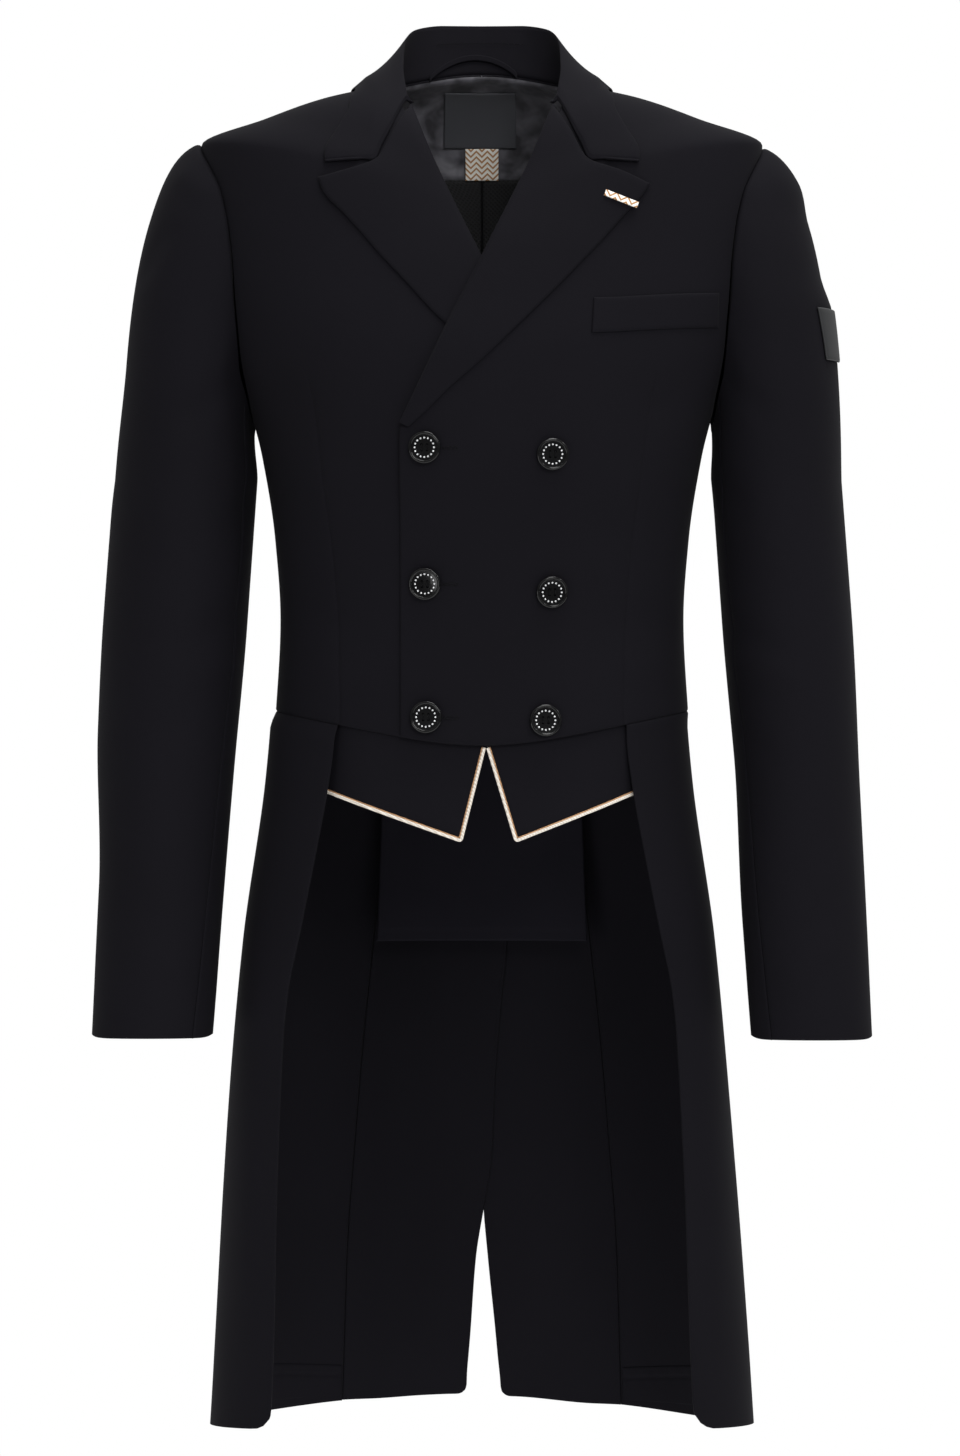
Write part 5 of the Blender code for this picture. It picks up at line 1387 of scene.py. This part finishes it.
# %% Piping
def piping_line(side, off):
    """Middle of a cord this far off a waistcoat point's edge, as (x, z): down to the tip, then out."""
    corners = vest_outline(side)
    runs = unit(np.diff(corners, axis=0))
    away = np.stack([runs[:, 1], -runs[:, 0]], axis=1) * side * off
    apex, corner = corners[0] + away[0], corners[2] + away[1]
    knee = corners[1] + away.sum(axis=0) / (1 + runs[0] @ runs[1])
    start, end = knee - runs[0] * PIPING_BEND, knee + runs[1] * PIPING_BEND
    down = [apex + (start - apex) * share for share in shares(20)[:-1]]
    bend = [start * (1 - t) ** 2 + 2 * t * (1 - t) * knee + end * t * t for t in shares(9)]
    out = [end + (corner - runs[1] * PIPING_END - end) * share for share in shares(40)[1:]]
    return np.array(down + bend + out)


for word, side in SIDES:
    vest_point(f"vest_point_{word}", side)
    tan_off, cream_off = TAN_RADIUS / 2, TAN_RADIUS + CREAM_RADIUS
    for name, off, radius, material in (
        (f"piping_{word}", cream_off, CREAM_RADIUS, CREAM_CORD),
        (f"tan_edge_{word}", tan_off, TAN_RADIUS, TAN_CORD),
    ):
        x, z = parted(piping_line(side, off))
        path = show_at(x, z, vest_lift(x, z) - CLOTH / 2 + radius / 2)
        cord_along(name, [path], radius, material, f"vest_point_{word}")

# %% [markdown]
# ## Inside: flap, linings and label
#
# Through the neck shows a satin yoke lining, a mesh lining below it in two halves, the label with
# a folded tape under it, and a strap to hang the coat by. Below the waist an inner flap hangs from
# the back seam, straight down. The satin is cut a little too large and puckers.

# %% Back flap
FLAP_TOP, FLAP_BOTTOM, FLAP_TOP_HALF, FLAP_BOTTOM_HALF = -0.4975, -0.6545, 0.0770, 0.0830
FLAP_LIFT, FLAP_SWING, FLAP_HEM = -TAIL_LAP - 2 * PLY, 0.0010, 0.0052
FLAP_CREASES = (
    Crease(0.072, -0.545, 0.010, -0.570, 0.008, 0.0010),
    Crease(0.070, -0.565, 0.025, -0.600, 0.008, -0.0009),
    Crease(0.060, -0.585, 0.055, -0.650, 0.010, 0.0009),
    Crease(-0.040, -0.560, -0.050, -0.650, 0.012, 0.0009),
    Crease(-0.070, -0.600, -0.020, -0.615, 0.010, -0.0007),
)
FLAP_ROWS, FLAP_DEPTH, FLAP_COLUMNS, FLAP_WIDTH, FLAP_STITCH = 44, 0.157, 50, 0.16, 0.0012
rows, columns = looped(FLAP_ROWS, FLAP_DEPTH), looped(FLAP_COLUMNS, FLAP_WIDTH)
top = show_at(FLAP_TOP_HALF * (2 * columns - 1), FLAP_TOP, FLAP_LIFT, facing=1)
foot = top * (1, 1, 0) + (0, FLAP_SWING, FLAP_BOTTOM)
foot[:, 0] *= FLAP_BOTTOM_HALF / FLAP_TOP_HALF
points = foot * (1 - rows[:, None, None]) + top * rows[:, None, None]
hem_stitch = DIP[0] * bell(points[..., 2] - FLAP_BOTTOM - FLAP_HEM, FLAP_STITCH)
dips = edge_dips(rows, FLAP_DEPTH, columns, FLAP_WIDTH, (1.0, 0.0, 1.0, 1.0)) + hem_stitch
dips -= creased(points[..., 0], points[..., 2], FLAP_CREASES)
# The flap is sewn in the twill painted paler, as painted light against the shade of the fronts.
cloth("back_flap", points, material=CLOTH_PAINTED_PALER, dips=dips)

# %% Linings
YOKE_CREASES = (
    Crease(-0.070, -0.030, -0.010, -0.052, 0.006, -0.0022),
    Crease(-0.075, -0.050, -0.030, -0.062, 0.005, 0.0018),
    Crease(0.070, -0.022, 0.040, -0.055, 0.006, -0.0022),
    Crease(0.075, -0.045, 0.030, -0.060, 0.005, 0.0018),
    Crease(-0.060, -0.005, -0.045, -0.060, 0.007, 0.0016),
    Crease(0.052, 0.000, 0.058, -0.058, 0.007, 0.0016),
    Crease(-0.030, -0.048, 0.030, -0.058, 0.005, -0.0012),
)
YOKE_RING = ARMHOLE[-2].ring
YOKE_SHARE, MESH_SHARE, PUCKER_DEPTH, SEAM_VALLEY = 6 / 8, 5 / 8, 0.0022, 1.3
LINING_COLUMNS, LINING_WIDTH = 34, 0.08


def lining(name, rings, share_out, side, material, table):
    """Thin cloth against the inside of the back, from the middle out. side 0 is both halves."""
    outer, middle = back_stops(rings, False)
    stops = middle + (outer - middle) * share_out, middle
    angles, dips = panel(stops, [LINING_COLUMNS], [LINING_WIDTH], (0.0, 1.0))
    flat = on_body(angles, rings[:, None])
    inward = CLOTH + 2 * GAP + LINING_CLOTH + PUCKER_DEPTH / 3
    halves = []
    for half in (side,) if side else (-1, 1):
        lift = -inward - creased(flat[..., 0] * half, flat[..., 2], table)
        lift += SEAM_VALLEY * dips * bool(side)
        if not side:
            lift[-1] += inward - CLOTH / 2
        points = mirrored(off_body(angles, rings[:, None], lift), half)
        halves.append(points if half < 0 else points[:, ::-1])
    points = halves[0] if side else np.concatenate([halves[0], halves[1][:, 1:]], axis=1)
    cloth(name, points, material=material, wall=LINING_CLOTH)


yoke_rings = BACK_RINGS[BACK_RINGS >= YOKE_RING - 1e-6]
mesh_rings = BACK_RINGS[(BACK_RINGS <= YOKE_RING + 1e-6) & (BACK_RINGS >= WAIST)]
lining("neck_lining", yoke_rings, YOKE_SHARE, 0, LINING_SATIN, YOKE_CREASES)
for word, side in SIDES:
    lining(f"back_lining_{word}", mesh_rings, MESH_SHARE, side, LINING_MESH, ())

# %% Label, tape and hanger
LABEL_LIFT = -CLOTH - 2 * GAP - 2 * LINING_CLOTH - PUCKER_DEPTH * 0.75
LABEL_ROWS, LABEL_COLUMNS = 14, 18
Label = namedtuple("Label", "name centre width top foot slot material")
LABELS = (
    Label("neck_label", -0.0015, 0.0570, 0.0068, -0.0362, "badge", LABEL_WEAVE),
    Label("label_tape", 0.0000, 0.0260, -0.0365, -0.0611, "ribbon", TAPE),
)
for label in LABELS:
    depth = label.top - label.foot
    rows, columns = looped(LABEL_ROWS, depth), looped(LABEL_COLUMNS, label.width)
    x = label.centre + label.width * (columns - 0.5)
    z = (label.foot + depth * rows)[:, None]
    points = show_at(x + 0 * z, z + 0 * x, LABEL_LIFT, facing=1)
    dips = edge_dips(rows, depth, columns, label.width) / 3
    cloth(label.name, points, TO_FRONT, label.material, LINING_CLOTH, "laid", dips)

HANGER_LEFT, HANGER_RIGHT, HANGER_RISE, HANGER_WIDTH = -0.0400, 0.0270, 0.0130, 0.0046
HANGER_ROWS, HANGER_COLUMNS, HANGER_BOW, BEHIND_Y = 6, 44, 0.7, 0.02
foot, fold = (mirror_half(line[line[:, 1] > BEHIND_Y]) for line in collar_stand(shares(61))[:2])
share = shares(HANGER_COLUMNS)
x = HANGER_LEFT + (HANGER_RIGHT - HANGER_LEFT) * share
rise = HANGER_RISE * np.sin(np.pi * share) ** HANGER_BOW
foot_y, foot_z = (np.interp(x, foot[:, 0], foot[:, axis]) for axis in (1, 2))
top_y, top_z = (np.interp(x, fold[:, 0], fold[:, axis]) for axis in (1, 2))
strap = []
for across in np.linspace(-HANGER_WIDTH / 2, HANGER_WIDTH / 2, HANGER_ROWS):
    height = foot_z + rise + across
    up = (height - foot_z) / (top_z - foot_z)
    strap.append(np.stack([x, foot_y + (top_y - foot_y) * up - 2 * GAP - CLOTH, height], -1))
cloth("hanger_loop", np.stack(strap), wall=LINING_CLOTH, carrier="neck_lining")

# %% [markdown]
# ## Sleeve patch
#
# A small plain rubber patch is bonded to the wearer's left upper arm. Its edge is
# rounded off.

# %% Sleeve patch
BADGE_TURNS, BADGE_TOP, BADGE_FOOT = (36.0, 8.0), -0.1725, -0.2120
BADGE_ROWS, BADGE_COLUMNS, BADGE_DEPTH, BADGE_WIDTH = 16, 9, BADGE_TOP - BADGE_FOOT, 0.022
ARM_ROWS = 60
rows, columns = looped(BADGE_ROWS, BADGE_DEPTH), looped(BADGE_COLUMNS, BADGE_WIDTH)
badge_turn = BADGE_TURNS[0] + (BADGE_TURNS[1] - BADGE_TURNS[0]) * columns
badge_notch = np.interp(badge_turn, 180 * turns[: len(turns) // 2], dense[: len(dense) // 2])
arm = sleeve_grid(badge_notch, shares(ARM_ROWS), [])[::-1]
heights = BADGE_FOOT + BADGE_DEPTH * rows
points = np.stack([
    np.stack([through(arm[:, k, 2], arm[:, k, axis], heights) for axis in range(3)], -1)
    for k in range(len(columns))
], 1)
points += outward_normals(points, (1, 0, 0)) * (PLY + 2 * GAP)
dips = edge_dips(rows, BADGE_DEPTH, columns, BADGE_WIDTH)
cloth("sleeve_badge", points, (1, 0, 0), RUBBER, CLOTH, "laid", dips)

# %% [markdown]
# ## Buttons and buttonholes
#
# The six buttons are cast blanks, turned on a lathe: a sunk face, a round raised rim and four
# drilled holes. A ring of pearly beads is set in the face, and two bars of thread hold each button.
# The row by the free edge has keyhole buttonholes, worked in thread; the other is for show only.

# %% Turn a button
BUTTON_RADIUS, BUTTON_THICKNESS, BUTTON_RIM = 0.0120, 0.0034, 0.0013
HOLE_RADIUS, HOLE_PITCH, THREAD_RADIUS = 0.0009, 0.0041, 0.0004
BUTTONS = (
    (-0.0416, -0.2823), (0.0508, -0.2871),
    (-0.0416, -0.3821), (0.0508, -0.3882),
    (-0.0409, -0.4812), (0.0463, -0.4835),
)
RIM_STEPS, LATHE_STEPS, RIM_FOOT, RIM_BOW, SHARP_DEGREES = 12, 72, 0.62, 0.38, 40
BACK_PROFILE = ((0.0, 0.0), (0.8, 0.0), (0.97, 0.3))  # shares of the radius and of the thickness
FACE_PROFILE = ((0.8, 0.58), (0.4, 0.55), (0.0, 0.54))  # the same, of the sunk face's radius
CORNERS = ((-0.5, -0.5), (-0.5, 0.5), (0.5, -0.5), (0.5, 0.5))


def turned_button():
    """A four-hole button, its back at z = 0, turned about Z."""
    radius, top = BUTTON_RADIUS, BUTTON_THICKNESS
    face, middle = radius - 2 * BUTTON_RIM, radius - BUTTON_RIM
    profile = [(radius * r, 0, top * z) for r, z in BACK_PROFILE]
    for turn in np.linspace(0, math.pi, RIM_STEPS):
        height = RIM_FOOT + RIM_BOW * math.sin(turn)
        profile.append((middle + BUTTON_RIM * math.cos(turn), 0, top * height))
    profile += [(face * r, 0, top * z) for r, z in FACE_PROFILE]
    mesh = bpy.data.meshes.new("button_profile")
    mesh.from_pydata(profile, [(i, i + 1) for i in range(len(profile) - 1)], [])
    blank = bpy.data.objects.new("button_blank", mesh)
    bpy.context.scene.collection.objects.link(blank)
    turn = blank.modifiers.new("lathe", "SCREW")
    turn.steps = turn.render_steps = LATHE_STEPS
    turn.use_merge_vertices, turn.merge_threshold, turn.use_normal_calculate = True, 0.00002, True
    holes = bmesh.new()
    for dx, dy in CORNERS:
        place = Matrix.Translation((dx * HOLE_PITCH, dy * HOLE_PITCH, top / 2))
        bmesh.ops.create_cone(holes, cap_ends=True, segments=24, radius1=HOLE_RADIUS,
                              radius2=HOLE_RADIUS, depth=3 * top, matrix=place)
    hole_mesh = bpy.data.meshes.new("button_holes")
    holes.to_mesh(hole_mesh)
    holes.free()
    drill_bit = bpy.data.objects.new("button_holes", hole_mesh)
    bpy.context.scene.collection.objects.link(drill_bit)
    drill = blank.modifiers.new("holes", "BOOLEAN")
    drill.operation, drill.object = "DIFFERENCE", drill_bit
    bpy.context.view_layer.update()
    made = bpy.data.meshes.new_from_object(blank.evaluated_get(bpy.context.evaluated_depsgraph_get()))
    bpy.data.objects.remove(blank)
    bpy.data.objects.remove(drill_bit)
    made.name = "turned_button"
    made.shade_smooth()
    made.set_sharp_from_angle(angle=math.radians(SHARP_DEGREES))
    made.materials.clear()
    made.materials.append(RESIN)
    return made


# %% Sew on the buttons
BOW_FOOT, BOW_RISE, BOW_POINTS, CENTIMETRE = 0.45, 0.25, 9, 0.01  # foot and rise in thicknesses
button_mesh, arc = turned_button(), shares(BOW_POINTS)
for number, (x, z) in enumerate(BUTTONS, 1):
    height = over_lift(x, z) + 2 * GAP
    seat = show_at(x, z, height)
    facing = Vector(show_at(x, z, height + CENTIMETRE) - seat).normalized()
    upright = facing.to_track_quat("Z", "Y").to_matrix().to_4x4()
    button = bpy.data.objects.new(f"button_{number}_turned", button_mesh)
    button.matrix_world = Matrix.Translation(seat) @ upright
    finished(button, f"button_{number}")
    bars = []
    for dx in (-0.5, 0.5):
        bow = np.stack([dx + 0 * arc, arc - 0.5, 0 * arc], -1) * HOLE_PITCH
        bow[:, 2] = BUTTON_THICKNESS * (BOW_FOOT + BOW_RISE * np.sin(np.pi * arc) ** 0.5)
        bars.append(np.array([button.matrix_world @ Vector(point) for point in bow]))
    cord_along(f"button_{number}_thread", bars, THREAD_RADIUS, THREAD, "front_over")

# %% The ring of beads on each button
BEAD_COUNT, BEAD_RING, BEAD_RADIUS, BEAD_HEIGHT = 16, 0.0072, 0.00075, BUTTON_THICKNESS * 0.57
beads = bmesh.new()
for turn in np.linspace(0, math.tau, BEAD_COUNT, endpoint=False):
    place = Matrix.Translation((BEAD_RING * math.cos(turn), BEAD_RING * math.sin(turn), BEAD_HEIGHT))
    bmesh.ops.create_icosphere(beads, subdivisions=2, radius=BEAD_RADIUS, matrix=place)
bead_mesh = bpy.data.meshes.new("beads")
beads.to_mesh(bead_mesh)
beads.free()
bead_mesh.shade_smooth()
bead_mesh.materials.append(PEARL)
for number in range(1, len(BUTTONS) + 1):
    ring = bpy.data.objects.new(f"button_{number}_beads", bead_mesh)
    ring.matrix_world = bpy.data.objects[f"button_{number}_turned"].matrix_world
    TRIMS["front_over"].append(finished(ring, ring.name))

# %% Buttonholes and other stitches
HOLE_LENGTH, HOLE_HALF_WIDTH, HOLE_THREAD = 0.0110, 0.0009, 0.00032
FROM_BUTTON, BELOW_BUTTON = 0.0008, 0.0005
EYE, EYE_AT = 1.7, (0.3, 0.9)  # the keyhole's eye is this much wider than its slit

around = np.radians(np.linspace(0, 360, 41))
for row, (button_x, z) in enumerate(BUTTONS[::2], 1):
    middle = button_x + BUTTON_RADIUS + FROM_BUTTON + HOLE_LENGTH / 2
    x = middle + HOLE_LENGTH / 2 * np.cos(around)
    width = HOLE_HALF_WIDTH * (1 + (EYE - 1) * fade(np.cos(around), *EYE_AT))
    loop = np.stack([x, z - BELOW_BUTTON + width * np.sin(around)], -1)
    cord_along(f"buttonhole_{row}", [on_front(loop)], HOLE_THREAD, THREAD, "front_over")


def stitches(name, path, pitch, share, radius, carrier):
    """Short stitches along a path, each this share of the pitch long."""
    run = walk(path)
    lines = []
    for start in np.arange(0, run[-1] - pitch, pitch):
        at = start + pitch * share * shares(4)
        lines.append(np.stack([np.interp(at, run, column) for column in path.T], -1))
    cord_along(name, lines, radius, THREAD, carrier)


STAND_STITCH_SHARE, STAND_STITCH_END = 0.66, 0.20  # up the stand, and from the middle outwards
seam, fold, _ = collar_stand(np.linspace(0, STAND_STITCH_END, 20))
inner = seam + (fold - seam) * STAND_STITCH_SHARE
row = mirror_half(inner) - np.array([0, CLOTH, 0])
stitches("stand_stitch", row, pitch=0.0024, share=0.45, radius=0.0003, carrier="collar")

# %% [markdown]
# The hems of the tails are turned up inside and caught with a line of stitches, which puckers them.
# Where the vent laps, its edge is pricked by hand. The stitches run close to the edge in dark
# thread, so they also give a painted shadow line along it.

# %% Turned hems and the pricked vent
HEM_TURN, HEM_PLY, HEM_STITCH = (0.022, 0.034), 0.0006, 0.0076
HEM_COLUMNS, HEM_WIDTH, HEM_ROWS, HEM_HEIGHT, HEM_SPAN = 60, 0.11, 20, 0.03, (0.012, 0.972)
HEM_START, HEM_LEVEL = HEM + 0.0035, HEM + 0.02
PUCKER_PITCH, PUCKER, PUCKER_WIDTH, GROOVE_WIDTH = 0.009, 0.00035, 0.004, 0.0011
PRICK_Z, PRICK_IN = (-0.650, -0.765), 0.0028


def turned_hem(name, side):
    share, climb = looped(HEM_COLUMNS, HEM_WIDTH), looped(HEM_ROWS, HEM_HEIGHT)
    height = HEM_TURN[0] + (HEM_TURN[1] - HEM_TURN[0]) * share
    rings = HEM_START + climb[:, None] * height
    outer, middle = (stop[0] for stop in back_stops(np.full(3, HEM_LEVEL), side < 0))
    angles = outer + (middle - outer) * np.interp(share, (0, 1), HEM_SPAN) + 0 * rings
    flat = on_body(angles, rings)
    lap = TAIL_LAP * fade(flat[..., 0], *TAIL_LAP_X) * (side < 0)
    from_stitch = (1 - climb)[:, None] * height - HEM_STITCH
    waves = PUCKER * np.sin(math.tau * share * HEM_WIDTH / PUCKER_PITCH)
    stitched = waves * bell(from_stitch, PUCKER_WIDTH) + HEM_PLY * bell(from_stitch, GROOVE_WIDTH)
    lift = body_creases(flat, side) - lap - CLOTH - HEM_PLY - GAP / 3 + stitched
    lift += edge_dips(climb, HEM_HEIGHT, share, HEM_WIDTH, (0.0, FREE_EDGE, 0.0, 0.0))
    points = off_body(angles, rings, lift)
    raised(points, rings, -back_hem_drop(flat[0, :, 0], side), HEM_REACH)
    cloth(name, mirrored(points, side), wall=HEM_PLY, held="folded")


for word, side in SIDES:
    turned_hem(f"turned_hem_{word}", side)
z = np.linspace(*PRICK_Z, 40)
path = show_at(-vent_edge(z, True) - PRICK_IN, z, -TAIL_LAP - CLOTH, facing=1)
# The dark pricking stitches are real, and they also serve as a painted shadow line along the lapped
# edge.
stitches("vent_prick", path, pitch=0.0036, share=0.4, radius=0.00025, carrier="back_right")

# %% [markdown]
# ## What was cut
#
# Each sheet keeps the size that it was cut to and its area; here the sheets are counted and their cloth
# is summed.

print("sheets:", len(CUTS), "cloth, square metres:", round(sum(cut.area for cut in CUTS), 2))
